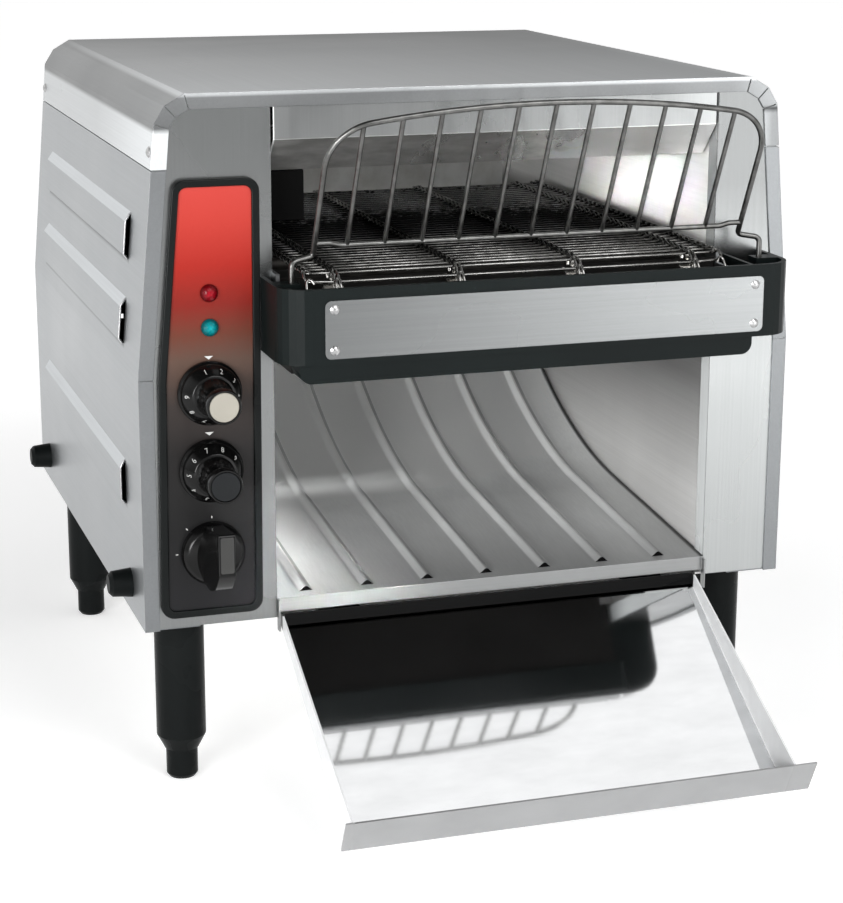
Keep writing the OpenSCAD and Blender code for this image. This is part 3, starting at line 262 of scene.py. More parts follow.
def plastic(name, color, rough, grain=1500.0, depth=0.00003, **sockets):
    """Moulded plastic: fine grain, slightly uneven gloss."""
    sockets.setdefault("Specular_IOR_Level", 0.25)
    m = Nodes(name, color, rough, **sockets)
    fine = m.noise((grain,) * 3, 2)
    broad = m.noise((14, 14, 14), 3)
    m.tint(broad, 0.18)
    m.gloss(broad, 0.05)
    return m.bump(fine, depth, 0.6).mat


def worn_metal(name, color, stain, rough, scale, spread=0.08, metal=1.0):
    """Metal stained by heat and handling."""
    m = Nodes(name, color, rough, metal)
    patches = m.noise((scale,) * 3, 5, 0.6)
    m.base(m.ramp(patches, [(0.38, stain), (0.62, color)]))
    m.gloss(patches, spread)
    return m.bump(patches, 0.00005, 0.5).mat


def belt_wire():
    """Drawn wire: painted light and shade along its depth, bright at the infeed, dark where it runs
    between the heaters, brighter again at the back, and painted dark on its lower run.
    """
    m = Nodes("belt_wire", (0.5, 0.49, 0.47), 0.22, 1.0)
    patches = m.noise((260, 260, 260), 4)
    wander = m.vary(m.noise((18, 18, 18), 3), -0.012, 0.012)
    depth = m.math("ADD", m.axis("Y"), wander)
    front = row_y(-40)
    # painted light and shade along the depth: lit at the infeed, dark in the middle, lit again at the
    # back
    painted_shade = m.range(depth, front, front + 0.27, 0.0, 0.8)
    # painted shade on the lower run
    under_shade = m.range(m.axis("Z"), row_z(163), row_z(186), 0.85, 0.0)
    both = m.math("ADD", m.math("MAXIMUM", painted_shade, under_shade), m.vary(patches, -0.08, 0.08))
    m.base(m.ramp(both, [
        (0.0, (0.24, 0.237, 0.23)), (0.12, (0.15, 0.147, 0.14)), (0.24, (0.05, 0.049, 0.047)),
        (0.36, (0.018,) * 3), (0.52, (0.02,) * 3), (0.62, (0.26,) * 3), (0.80, (0.34,) * 3),
        (0.86, (0.012,) * 3)]))
    m.gloss(patches, 0.07)
    return m.bump(patches, 0.00004, 0.5).mat


def overlay_print():
    """Printed film that runs from red at the top to dark grey at the bottom."""
    m = Nodes("overlay_print", (0.3, 0.1, 0.08), 0.34, Specular_IOR_Level=0.15)
    low, high = row_z(11), row_z(235)
    height = m.range(m.axis("Z"), low, high, 0.0, 1.0)
    grain = m.range(m.noise((400, 400, 400), 3), 0.0, 1.0, -0.012, 0.012)
    m.base(m.ramp(m.math("ADD", height, grain), [
        (0.0, (0.008, 0.008, 0.009)), (0.26, (0.009, 0.009, 0.009)), (0.38, (0.012, 0.011, 0.011)),
        (0.50, (0.028, 0.022, 0.020)), (0.60, (0.075, 0.045, 0.034)), (0.66, (0.095, 0.027, 0.016)),
        (0.73, (0.15, 0.010, 0.006)), (0.82, (0.25, 0.012, 0.007)), (0.92, (0.33, 0.028, 0.020)),
        (1.0, (0.36, 0.036, 0.028))]))
    m.gloss(m.noise((60, 60, 60), 3), 0.05)
    return m.bump(m.noise((2500, 2500, 2500), 2), 0.00002, 0.5).mat


def lens(name, rim, glow, centre_z):
    """Moulded lens: dark at its rim, lit in the middle, with small prisms inside."""
    m = Nodes(name, rim, 0.2, Specular_IOR_Level=0.12)
    shift = m.new("ShaderNodeVectorMath", operation="DISTANCE")
    m.link(m.coords(), shift.inputs[0])
    shift.inputs[1].default_value = at((LAMP_X, LAMP_Y, centre_z))
    middle = m.range(shift.outputs["Value"], 0.0008, 0.0044, 1.0, 0.0)
    cells = m.new("ShaderNodeTexVoronoi")
    cells.inputs["Scale"].default_value = 1.0
    m.link(m.coords((620, 620, 620)), cells.inputs["Vector"])
    lit = m.math("MULTIPLY", middle, m.range(cells.outputs["Distance"], 0.0, 0.8, 1.15, 0.6))
    color = m.ramp(lit, [(0.05, rim), (0.85, glow)])
    m.base(color)
    m.link(color, m.shader.inputs["Emission Color"])
    m.link(m.range(lit, 0.1, 1.0, 0.0, 0.35), m.shader.inputs["Emission Strength"])
    return m.bump(cells.outputs["Distance"], 0.0003, 0.6).mat


def deflector_sheet():
    """Header sheet: clean above its bend, marked by heat on the sloped deflector below it; a painted
    highlight line along its left end, and painted light brightening it towards the right, the deflector
    more.
    """
    m = Nodes("header_steel", (0.33, 0.34, 0.34), 0.30, 0.9)
    lines = m.lines("Z")
    broad = m.noise((38, 38, 7), 3)
    clean = m.ramp(m.math("ADD", m.math("MULTIPLY", lines, 0.3), m.math("MULTIPLY", broad, 0.7)),
                   [(0.36, (0.150, 0.155, 0.155)), (0.62, (0.18, 0.185, 0.185))])
    marked = m.ramp(m.noise((60, 160, 160), 5),
                    [(0.35, (0.42, 0.417, 0.40)), (0.65, (0.60, 0.597, 0.58))])
    mix = m.new("ShaderNodeMix", data_type="RGBA")
    above = m.range(m.axis("Z"), row_z(256.2), row_z(257.6), 0.0, 1.0)
    m.link(above, mix.inputs["Factor"])
    m.link(marked, mix.inputs["A"])
    m.link(clean, mix.inputs["B"])
    scale = m.new("ShaderNodeVectorMath", operation="SCALE")
    m.link([s for s in mix.outputs if s.type == "RGBA"][0], scale.inputs[0])
    # painted highlight: a bright line along the header's left end
    end = m.range(m.axis("X"), -0.1101, -0.1098, 5.0, 0.0)
    # painted light: brighter towards the right, more on the deflector below the bend
    deflector_light = m.math("MULTIPLY", m.range(above, 0.0, 1.0, 1.0, 0.0),
                   m.range(m.axis("X"), 0.0, 0.07, 0.0, 0.7))
    right = m.math("MULTIPLY", m.math("ADD", deflector_light, 1.0), m.range(m.axis("X"), 0.01, 0.13, 1.0, 2.0))
    m.link(m.math("MAXIMUM", end, right), scale.inputs["Scale"])
    m.base(scale.outputs[0])
    m.gloss(broad, 0.06)
    return m.bump(lines, BRUSH_DEPTH).mat


def tray_steel():
    """Tray sheet: a mirror on its floor, brushed sheet on its walls and lip; the lip is painted darker
    and the part hung behind the front painted near black, both painted shade.
    """
    m = Nodes("tray_sheet", (1.0, 1.01, 1.02), 0.1, 1.0)
    ends = m.math("MAXIMUM", m.range(m.axis("X"), 0.1300, 0.1306, 0.0, 1.0),
                  m.range(m.axis("X"), -0.1086, -0.1080, 1.0, 0.0))
    down = m.math("ADD", m.math("MULTIPLY", m.axis("Y"), math.cos(TRAY_TILT)),
                  m.math("MULTIPLY", m.axis("Z"), math.sin(TRAY_TILT)))
    front = m.range(down, -0.2098, -0.2091, 1.0, 0.0)
    shaded_behind = m.range(m.axis("Y"), row_y(-2.6), row_y(-2.2), 0.0, 1.0)
    wall = m.math("MAXIMUM", ends, front)
    smear = m.vary(m.noise((30, 90, 30), 4), 0.95, 1.05)
    # painted shade: the lip painted darker than the floor, the part hung behind the front near black
    painted_tone = m.math("SUBTRACT", m.range(ends, 0.0, 1.0, 0.80, 0.70), m.range(front, 0.0, 1.0, 0.0, 0.43))
    m.shade(m.math("SUBTRACT", painted_tone, m.range(shaded_behind, 0.0, 1.0, 0.0, 0.79)), smear)
    m.link(m.range(ends, 0.0, 1.0, 1.0, 0.3), m.shader.inputs["Metallic"])
    m.link(m.range(wall, 0.0, 1.0, 0.05, 0.30), m.shader.inputs["Roughness"])
    return m.bump(m.noise((6, 900, 900), 3), 0.000002).mat


def top_steel():
    """Cover sheet: brushed, with painted light: its folded sides, corner strips and top are painted in
    the tones the light gives them, brighter at the front than at the back, the right end painted darker
    low down and brighter high up, and the front-facing folds painted darker.
    """
    m = Nodes("top_steel", (0.97, 1.0, 1.015), 0.32, 1.0)
    lines = m.lines("Y")
    clouds = m.noise((7, 7, 7), 3)
    height = m.range(m.axis("Z"), row_z(240), row_z(284), 0.0, 1.0)
    # painted light: sides, corner strip and top painted in different tones
    facet_light = m.ramp(height, [(0.0, (0.56,) * 3), (0.50, (0.56,) * 3), (0.56, (0.125,) * 3),
                           (0.90, (0.15,) * 3), (0.93, (0.37,) * 3)])
    # painted reflection: the cover brighter at the front, darker towards the back
    back = m.range(m.axis("Y"), row_y(0), row_y(349), 1.5, 0.38)
    edge = m.math("MAXIMUM", back, m.range(height, 0.88, 0.94, 1.0, 0.0))
    # painted light at the right end: darker low down, brighter high up
    right_end_light = m.math("ADD", m.math("MULTIPLY", m.range(m.axis("X"), 0.145, 0.17, 0.0, 1.0),
                                     m.range(height, 0.56, 0.60, -0.72, 0.5)), 1.0)
    # painted shade on the front-facing folds
    front_fold_shade = m.range(m.facing("Y"), -0.95, -0.8, 0.85, 1.0)
    m.shade(facet_light, edge, right_end_light, front_fold_shade, m.vary(lines, 0.95, 1.05), m.vary(clouds, 0.95, 1.05))
    m.gloss(clouds, 0.05)
    return m.bump(lines, BRUSH_DEPTH, 1.0, EDGE_R).mat


def chamber_steel():
    """Inner walls: bright low down, painted darker upwards to the belt's level as painted shade, bright
    again above it.
    """
    m = Nodes("chamber_steel", (1.0, 0.995, 0.98), 0.36, 0.4)
    lines = m.lines("Y")
    clouds = m.noise((9, 9, 9), 3)
    # painted shade: darker from low down up to the belt's level, bright again above it
    low = m.range(m.axis("Z"), row_z(45), row_z(112), 0.80, 0.22)
    above = m.range(m.axis("Z"), row_z(178), row_z(192), 0.0, 1.0)
    m.shade(m.math("MAXIMUM", low, m.math("MULTIPLY", above, 0.95)), m.vary(lines, 0.95, 1.05),
            m.vary(clouds, 0.93, 1.07))
    m.link(m.range(above, 0.0, 1.0, 0.4, 0.1), m.shader.inputs["Metallic"])
    m.gloss(clouds, 0.05)
    return m.bump(lines, BRUSH_DEPTH).mat


def slide_steel():
    """Slide sheet: painted light throughout: darker at its flat front and brighter towards the back, a
    painted glow at the left, a painted highlight band across its curve at the left, the beads painted
    bright on one side and dark on the other, and a painted dark seam along the right wall.
    """
    m = Nodes("slide_steel", (0.66, 0.67, 0.67), 0.33, 0.5)
    lines = m.lines("Y")
    clouds = m.noise((9, 7, 7), 3)
    # painted light: darker at the flat front, brighter towards the back
    front = m.math("MULTIPLY", m.range(m.axis("Y"), row_y(0), row_y(110), 0.50, 1.15),
                   m.range(m.axis("Y"), row_y(120), row_y(190), 1.0, 1.6))
    # painted glow: much brighter at the left, a little darker to the right
    painted_left_glow = m.math("MULTIPLY", m.range(m.axis("X"), -0.112, -0.06, 2.3, 1.0),
                  m.range(m.axis("X"), -0.02, 0.13, 1.12, 0.90))
    # painted highlight: a bright band across the curve at the left
    away = m.math("ABSOLUTE", m.math("SUBTRACT", m.axis("Y"), row_y(152)), 0.0)
    painted_band = m.math("MULTIPLY", m.range(away, 0.0, 0.016, 2.2, 0.0),
                  m.range(m.axis("X"), -0.05, 0.03, 1.0, 0.0))
    # painted light and shade: bead sides facing left painted brighter, those facing right darker
    flank_light = m.math("MULTIPLY", m.range(m.facing("X"), -0.5, -0.12, 1.5, 1.0),
                   m.range(m.facing("X"), 0.15, 0.5, 1.0, 0.42))
    # painted shade: a dark seam line along the right wall
    gap = m.range(m.axis("X"), 0.1350, 0.1366, 1.0, 0.06)
    m.shade(front, painted_left_glow, m.math("ADD", painted_band, 1.0), flank_light, gap, m.vary(lines, 0.95, 1.05),
            m.vary(clouds, 0.86, 1.16))
    m.gloss(clouds, 0.05)
    return m.bump(lines, BRUSH_DEPTH).mat


MAT = {
    "side": side_steel(),
    "top": top_steel(),
    # the two columns differ only in painted light: the left is painted darker than the right
    "column_left": column_steel("left_column_steel", 0.20, 0.85),
    "column_right": column_steel("right_column_steel", 0.38, 0.52),
    "header": deflector_sheet(),
    "chamber": chamber_steel(),
    "back": worn_metal("chamber_back_steel", (0.80, 0.80, 0.78), (0.60, 0.59, 0.56), 0.45, 30,
                       metal=0.2),
    "slide": slide_steel(),
    "tray": tray_steel(),
    "lip": brushed("lip_steel", (0.27, 0.275, 0.275), 0.32, "X", 0.03),
    # painted reflection gradient: the nameplate is painted brighter towards its right end
    "plate": brushed("plate_steel", (0.24, 0.248, 0.25), 0.27, "X", 0.05, reflection_sweep=(0.56, 1.16)),
    # near-black sheet on the belt rails, crumb tray and lower reflector: painted shade under the belt
    "painted_shade": plastic("shade_black_sheet", (0.012, 0.0115, 0.011), 0.5, 900, Specular_IOR_Level=0.05),
    "belt": belt_wire(),
    "guard": worn_metal("guard_wire", (0.14, 0.14, 0.136), (0.09, 0.09, 0.087), 0.32, 150, 0.05),
    "shaft": worn_metal("turned_steel", (0.60, 0.59, 0.57), (0.40, 0.385, 0.36), 0.2, 60),
    "tube": worn_metal("heater_sheath", (0.06, 0.055, 0.05), (0.03, 0.028, 0.026), 0.5, 90, metal=0.6),
    "screw": worn_metal("screw_steel", (0.45, 0.45, 0.45), (0.3, 0.3, 0.3), 0.3, 300),
    "chain": worn_metal("chain_steel", (0.16, 0.15, 0.14), (0.07, 0.065, 0.06), 0.4, 200),
    "zinc": worn_metal("zinc_plate", (0.40, 0.41, 0.42), (0.30, 0.31, 0.32), 0.4, 120),
    "bronze": worn_metal("bush_bronze", (0.55, 0.40, 0.20), (0.35, 0.24, 0.12), 0.38, 200),
    "motor": plastic("motor_enamel", (0.05, 0.058, 0.066), 0.6, Specular_IOR_Level=0.05),
    "cover": plastic("cover_enamel", (0.002, 0.002, 0.002), 0.6, Specular_IOR_Level=0.03),
    "ceramic": plastic("collar_ceramic", (0.62, 0.60, 0.55), 0.55, 900),
    "bezel": plastic("bezel_black", (0.005, 0.006, 0.006), 0.28, 1800, 0.00001, Specular_IOR_Level=0.1),
    "shelf": plastic("shelf_black", (0.004, 0.006, 0.006), 0.36, 1600, Specular_IOR_Level=0.09),
    "dial": plastic("dial_black", (0.002, 0.002, 0.002), 0.17, 2200, 0.00001, Specular_IOR_Level=0.2),
    "leg": plastic("leg_black", (0.006, 0.007, 0.007), 0.28, 1600, Specular_IOR_Level=0.05),
    "rubber": plastic("bumper_rubber", (0.004, 0.005, 0.005), 0.45, 1200, 0.00005,
                      Specular_IOR_Level=0.06),
    "ivory": plastic("cap_ivory", (0.245, 0.232, 0.20), 0.30, 900, 0.00002),
    "cap_dark": plastic("cap_dark", (0.010, 0.011, 0.012), 0.28, 900, 0.00002, Specular_IOR_Level=0.12),
    "face": plastic("pointer_face", (0.030, 0.030, 0.029), 0.32, 900, 0.00002),
    "board": plastic("board_green", (0.015, 0.10, 0.04), 0.4, 900),
    "print": plastic("white_print", (0.50, 0.50, 0.49), 0.45, 3000, 0.00001),
    "overlay": overlay_print(),
    "red_lens": lens("red_lens", (0.06, 0.001, 0.002), (0.20, 0.003, 0.009), RED_LAMP_Z),
    "teal_lens": lens("teal_lens", (0.001, 0.05, 0.055), (0.001, 0.20, 0.22), TEAL_LAMP_Z),
}

NODE_MATERIALS = {
    "side": ["side_panel_left", "side_panel_right", "rear_panel"],
    "top": ["top_cover"],
    "column_left": ["front_column_left"],
    "column_right": ["front_column_right"],
    "header": ["header_panel"],
    "chamber": ["inner_wall_left", "inner_wall_right", "upper_reflector", "base_pan"],
    "back": ["chamber_back"],
    "slide": ["toast_slide"],
    "tray": ["toast_tray"],
    "plate": ["nameplate"],
    "belt": ["conveyor_belt"],
    "guard": ["bread_guard"],
    "shaft": ["drive_shaft", "idler_shaft", "drive_sprockets", "idler_sprockets", "chain_wheel",
              "motor_sprocket"],
    "painted_shade": ["belt_rails", "crumb_tray", "lower_reflector"],
    "tube": ["upper_heaters", "lower_heaters"],
    "screw": ["cover_screws", "nameplate_rivets"],
    "chain": ["drive_chain"],
    "zinc": ["conveyor_frame", "motor_bracket", "dial_controls"],
    "bronze": ["shaft_bushes"],
    "motor": ["gear_motor"],
    "cover": ["lead_cover"],
    "ceramic": ["heater_collars"],
    "bezel": ["control_bezel"],
    "shelf": ["front_shelf", "crumb_tray_handle"],
    "dial": ["speed_knob", "power_knob", "function_knob"],
    "leg": ["legs", "foot_front_left", "foot_front_right", "foot_rear_left", "foot_rear_right",
            "cord_gland", "fan_frame", "fan_rotor", "function_switch"],
    "rubber": ["side_bumpers"],
    "ivory": ["speed_cap"],
    "cap_dark": ["power_cap"],
    "board": ["control_board"],
    "overlay": ["control_overlay"],
    "red_lens": ["power_lamp"],
    "teal_lens": ["ready_lamp"],
}
for key, names in NODE_MATERIALS.items():
    for name in names:
        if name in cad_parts:
            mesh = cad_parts[name].data
            mesh.materials.clear()
            mesh.materials.append(MAT[key])


def round_edges(ob, width, segments, angle):
    """Small rounded edges, for the highlights that real edges show."""
    bevel = ob.modifiers.new("bevel", "BEVEL")
    bevel.width = width / 1000
    bevel.segments = segments
    bevel.limit_method = "ANGLE"
    bevel.angle_limit = math.radians(angle)
    bevel.harden_normals = True


def soften(node, width, segments=2):
    """Rounds the edges of a CAD solid."""
    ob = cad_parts[node]
    weld = ob.modifiers.new("weld", "WELD")
    weld.merge_threshold = 0.000002
    round_edges(ob, width, segments, 25)


# ---------------------------------------------------------------- mesh builder


class Shape:
    """Collects vertices and faces in the casing's frame, then becomes one piece."""

    def __init__(self):
        self.points, self.faces = [], []

    def add(self, points, faces):
        n = len(self.points)
        self.points += [tuple(p) for p in points]
        self.faces += [[i + n for i in f] for f in faces]
        return self

    def prism(self, outline, axis, a, b):
        """Extrudes an outline from a to b along an axis; the outline holds the other two values."""
        n = len(outline)

        def place(p, d):
            v = list(p)
            v.insert("XYZ".index(axis), d)
            return v

        pts = [place(p, a) for p in outline] + [place(p, b) for p in outline]
        sides = [(i, (i + 1) % n, n + (i + 1) % n, n + i) for i in range(n)]
        return self.add(pts, [list(range(n))[::-1], list(range(n, 2 * n))] + sides)

    def tube(self, path, radius, sides):
        """A round wire along a path."""
        pts = [Vector(p) for p in path]
        n = len(pts)
        rings, normal = [], None
        for i in range(n):
            along = (pts[min(i + 1, n - 1)] - pts[max(i - 1, 0)]).normalized()
            if normal is None:
                normal = along.orthogonal().normalized()
            normal = (normal - along * normal.dot(along)).normalized()
            side = along.cross(normal)
            rings.append([pts[i] + radius * (math.cos(t) * normal + math.sin(t) * side)
                          for t in (2 * math.pi * k / sides for k in range(sides))])
        faces = []
        for i in range(n - 1):
            a, b = i * sides, (i + 1) * sides
            faces += [(a + k, a + (k + 1) % sides, b + (k + 1) % sides, b + k) for k in range(sides)]
        faces += [list(range(sides))[::-1], list(range((n - 1) * sides, n * sides))]
        return self.add([p for r in rings for p in r], faces)

    def turned(self, profile, centre, steps, groove=None):
        """A solid of revolution about the Y axis; profile holds (radius, length to the front).
        groove(radius, length, angle) may change a point's radius."""
        pts, faces = [], []
        for r, d in profile:
            for k in range(steps):
                t = 2 * math.pi * k / steps
                q = groove(r, d, t) if groove else r
                pts.append((centre[0] + q * math.sin(t), centre[1] - d, centre[2] + q * math.cos(t)))
        for i in range(len(profile) - 1):
            a, b = i * steps, (i + 1) * steps
            faces += [(a + k, b + k, b + (k + 1) % steps, a + (k + 1) % steps) for k in range(steps)]
        faces += [list(range(steps)), list(range(len(pts) - steps, len(pts)))[::-1]]
        return self.add(pts, faces)

    def make(self, name, material, body, slot, replaces=(), angle=35, bevel=0.0):
        """Turns the shape into a piece; edges sharper than angle stay sharp."""
        mesh = bpy.data.meshes.new(name)
        mesh.from_pydata([at(p) for p in self.points], [], self.faces)
        mesh.validate()
        mesh.polygons.foreach_set("use_smooth", [True] * len(mesh.polygons))
        mesh.set_sharp_from_angle(angle=math.radians(angle))
        mesh.materials.append(MAT[material])
        ob = bpy.data.objects.new(name, mesh)
        bpy.context.scene.collection.objects.link(ob)
        if bevel:
            round_edges(ob, bevel, 1, angle)
        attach(ob, body)
        if replaces:
            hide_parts(*replaces)
        return ob


def rounded(points, radius, steps, closed=True):
    """A polyline with its corners rounded, in two or three dimensions; radius may be a list."""
    pts = [Vector(p) for p in points]
    n = len(pts)
    out = []
    for i, b in enumerate(pts):
        if not closed and i in (0, n - 1):
            out.append(b)
            continue
        u, v = (pts[i - 1] - b), (pts[(i + 1) % n] - b)
        r = radius[i] if isinstance(radius, (list, tuple)) else radius
        half = u.angle(v) / 2
        if r < 0.01 or half > 1.56:
            out.append(b)
            continue
        cut = min(r / math.tan(half), u.length * 0.49, v.length * 0.49)
        r = cut * math.tan(half)
        u, v = u.normalized(), v.normalized()
        c = b + (u + v).normalized() * (r / math.sin(half))
        p, q = b + u * cut - c, b + v * cut - c
        full = p.angle(q)
        for k in range(steps + 1):
            t = k / steps
            out.append(c + (math.sin((1 - t) * full) * p + math.sin(t * full) * q) / math.sin(full))
    return out


# ---------------------------------------------------------------- camera, floor, light

FOCAL_PX, PICTURE_PX = 2249.4, 903
CAMERA_PLACE = (-393.5, -1112.7, 398.1)
PITCH, ROLL, YAW = (math.radians(a) for a in (-14.887, 0.165, 18.042))
ahead = Vector((math.sin(YAW) * math.cos(PITCH), math.cos(YAW) * math.cos(PITCH), math.sin(PITCH)))
right = Vector((math.cos(YAW), -math.sin(YAW), 0))
up = right.cross(ahead)
right, up = right * math.cos(ROLL) + up * math.sin(ROLL), up * math.cos(ROLL) - right * math.sin(ROLL)
cam = bpy.data.objects.new("camera", bpy.data.cameras.new("camera"))
bpy.context.scene.collection.objects.link(cam)
cam.matrix_world = Matrix.Translation(at(CAMERA_PLACE)) @ Matrix(
    (right, up, -ahead)).transposed().to_4x4()
cam.data.sensor_width = 36
cam.data.lens = FOCAL_PX / PICTURE_PX * cam.data.sensor_width
cam.data.clip_end = 100
bpy.context.scene.camera = cam

FLOOR = 30
floor_mesh = bpy.data.meshes.new("floor")
floor_mesh.from_pydata([(-FLOOR, -FLOOR, 0), (FLOOR, -FLOOR, 0), (FLOOR, FLOOR, 0), (-FLOOR, FLOOR, 0)],
                       [], [(0, 1, 2, 3)])
floor_mat = Nodes("floor_white", (0.86, 0.86, 0.86), 0.8, Specular_IOR_Level=0.0,
                  Emission_Color=(1, 1, 1, 1))
floor_mat.tint(floor_mat.noise((3, 3, 3), 2), 0.005)
# painted soft shadow: the floor glows less near the toaster and more further out
reach = floor_mat.new("ShaderNodeVectorMath", operation="LENGTH")
floor_mat.link(floor_mat.coords(), reach.inputs[0])
floor_mat.link(floor_mat.range(reach.outputs["Value"], 0.35, 1.15, 0.34, 0.62),
               floor_mat.shader.inputs["Emission Strength"])
floor_mesh.materials.append(floor_mat.mat)
floor = bpy.data.objects.new("floor", floor_mesh)
bpy.context.scene.collection.objects.link(floor)

world = bpy.data.worlds.new("studio")
bpy.context.scene.world = world
world.use_nodes = True
wt = world.node_tree
sky_dir = wt.nodes.new("ShaderNodeTexCoord")
sky_split = wt.nodes.new("ShaderNodeSeparateXYZ")
wt.links.new(sky_dir.outputs["Generated"], sky_split.inputs[0])
sky = wt.nodes.new("ShaderNodeValToRGB")
SKY = [(0.0, 0.55), (0.12, 0.70), (0.35, 0.95), (0.60, 0.85), (0.74, 0.06), (1.0, 0.03)]
fill_ramp(sky, [(place, (grey,) * 3) for place, grey in SKY])
wt.links.new(sky_split.outputs["Z"], sky.inputs["Fac"])


def sky_range(letter, *limits):
    node = wt.nodes.new("ShaderNodeMapRange")
    set_range(node, *limits)
    wt.links.new(sky_split.outputs[letter], node.inputs["Value"])
    return node


# behind the object the sky is brighter towards the left
sideways = sky_range("X", -0.4, 0.45, 1.7, 0.5)
behind = sky_range("Y", -0.2, 0.4, 1.0)
wt.links.new(sideways.outputs["Result"], behind.inputs["To Max"])
wt.links.new(sky.outputs["Color"], wt.nodes["Background"].inputs["Color"])
wt.links.new(behind.outputs["Result"], wt.nodes["Background"].inputs["Strength"])


def softbox(name, place, target, width, height, power, spread=180):
    light = bpy.data.lights.new(name, "AREA")
    light.shape, light.size, light.size_y, light.energy = "RECTANGLE", width, height, power
    light.spread = math.radians(spread)
    ob = bpy.data.objects.new(name, light)
    ob.location = place
    ob.rotation_euler = (Vector(target) - Vector(place)).to_track_quat("-Z", "Y").to_euler()
    bpy.context.scene.collection.objects.link(ob)


softbox("key", (0.45, -1.55, 1.35), (0, 0, 0.15), 1.0, 0.8, 18)
softbox("fill_left", (-1.25, -1.35, 0.40), (0.1, 0.05, 0.15), 0.9, 0.6, 30)
softbox("right_wall", (0.82, -1.15, 0.30), (0.1, 0, 0.15), 0.9, 0.55, 3.4)
softbox("overhead_right", (1.0, -0.15, 1.9), (0.15, -0.15, 0.1), 0.9, 1.5, 4.6)
softbox("into_corner", (0.30, -0.95, 0.24), (-0.118, -0.03, 0.118), 0.05, 0.05, 0.075, 6)
softbox("into_chamber", (-0.95, -1.1, 0.365), (0.150, -0.01, 0.312), 0.06, 0.05, 0.055, 6)
bpy.context.scene.view_settings.view_transform = "Standard"

# ---------------------------------------------------------------- softened CAD sheet

for name in ("front_shelf", "crumb_tray_handle", "control_bezel"):
    soften(name, 0.8, 3)
soften("toast_tray", 0.25)

# ---------------------------------------------------------------- rolled edges of the ribs' mouths

SHOULDER_Z, SIDE_LEAN, HALF_W = 136.0, math.radians(5.1), 184.0
RIM_Y, RIM_R = 43.8, 0.42
rims = Shape()
for rib_z in RIB_ZS:
    lean = SIDE_LEAN if rib_z > SHOULDER_Z else 0.0
    foot = HALF_W - max(0.0, rib_z - SHOULDER_Z) * math.tan(SIDE_LEAN)
    loop = rounded([(-0.5, -0.5), (2.6, 2.9), (2.6, 20.7), (-0.5, 27.0)], 0.7, 3)
    loop = [(foot + q.x * math.cos(lean) - q.y * math.sin(lean), RIM_Y,
             rib_z + q.x * math.sin(lean) + q.y * math.cos(lean)) for q in loop]
    for side in (-1, 1):
        rims.tube([(side * x, y, z) for x, y, z in loop + loop[:2]], RIM_R, 8)
rims.make("rib_rims", "screw", "casing", "casing_steel", angle=60)

# ---------------------------------------------------------------- wire belt

SPAN, TURN_R, BELT_Z, FRONT_Y, REAR_Y = 265.0, 15.0, 177.0, -20.0, 245.0
TURN = TURN_R * math.pi
LOOP = 2 * (SPAN + TURN)
WIRES = round(LOOP / 7.4)
PITCH_S = LOOP / WIRES
BELT_WIRE_R = 0.72
BELT_X0, BELT_X1 = -103.0, 129.0
LINK_XS = (-86.0, -20.0, 46.0, 112.0)


def on_belt(x, s, out):
    """Point at distance s along the belt's loop from the front shaft's top, out from its path."""
    s %= LOOP
    r = TURN_R + out
    if s < SPAN:
        return (x, FRONT_Y + s, BELT_Z + r)
    if s < SPAN + TURN:
        a = math.pi / 2 - (s - SPAN) / TURN_R
        return (x, REAR_Y + r * math.cos(a), BELT_Z + r * math.sin(a))
    if s < 2 * SPAN + TURN:
        return (x, REAR_Y - (s - SPAN - TURN), BELT_Z - r)
    a = -math.pi / 2 - (s - 2 * SPAN - TURN) / TURN_R
    return (x, FRONT_Y + r * math.cos(a), BELT_Z + r * math.sin(a))


def belt_strand():
    """One wire of the belt as (x, along, out) points: straight runs, hooks over the next wire at
    the link columns and a curl round it at each end."""
    p = PITCH_S
    pts = [(BELT_X0 + 4.4, p - 1.3, 0.6), (BELT_X0 + 3.4, p + 0.4, 1.7), (BELT_X0 + 2.0, p + 1.5, 1.4),
           (BELT_X0 + 0.6, p + 0.2, 1.0), (BELT_X0 + 0.2, p / 2, 0.4), (BELT_X0 + 1.1, 0.8, 0.0)]
    for x in LINK_XS:
        pts += [(x - 2.3, 0.0, 0.0), (x - 1.4, 0.4, 0.0), (x - 1.25, p / 2, 0.7), (x - 1.0, p, 1.45),
                (x - 0.5, p + 1.1, 1.3), (x + 0.5, p + 1.1, 1.3), (x + 1.0, p, 1.45),
                (x + 1.25, p / 2, 0.7), (x + 1.4, 0.4, 0.0), (x + 2.3, 0.0, 0.0)]
    pts += [(BELT_X1 - 1.1, 0.8, 0.0), (BELT_X1 - 0.2, p / 2, 0.4), (BELT_X1 - 0.6, p + 0.2, 1.0),
            (BELT_X1 - 2.0, p + 1.5, 1.4), (BELT_X1 - 3.4, p + 0.4, 1.7), (BELT_X1 - 4.4, p - 1.3, 0.6)]
    return pts


belt = Shape()
strand = belt_strand()
for k in range(WIRES):
    s = (k + 0.5) * PITCH_S
    belt.tube([on_belt(x, s + a, out) for x, a, out in strand], BELT_WIRE_R, 8)
belt.make("belt_wires", "belt", "casing", "wire_steel", ["conveyor_belt"], angle=60)

# ---------------------------------------------------------------- bread guard

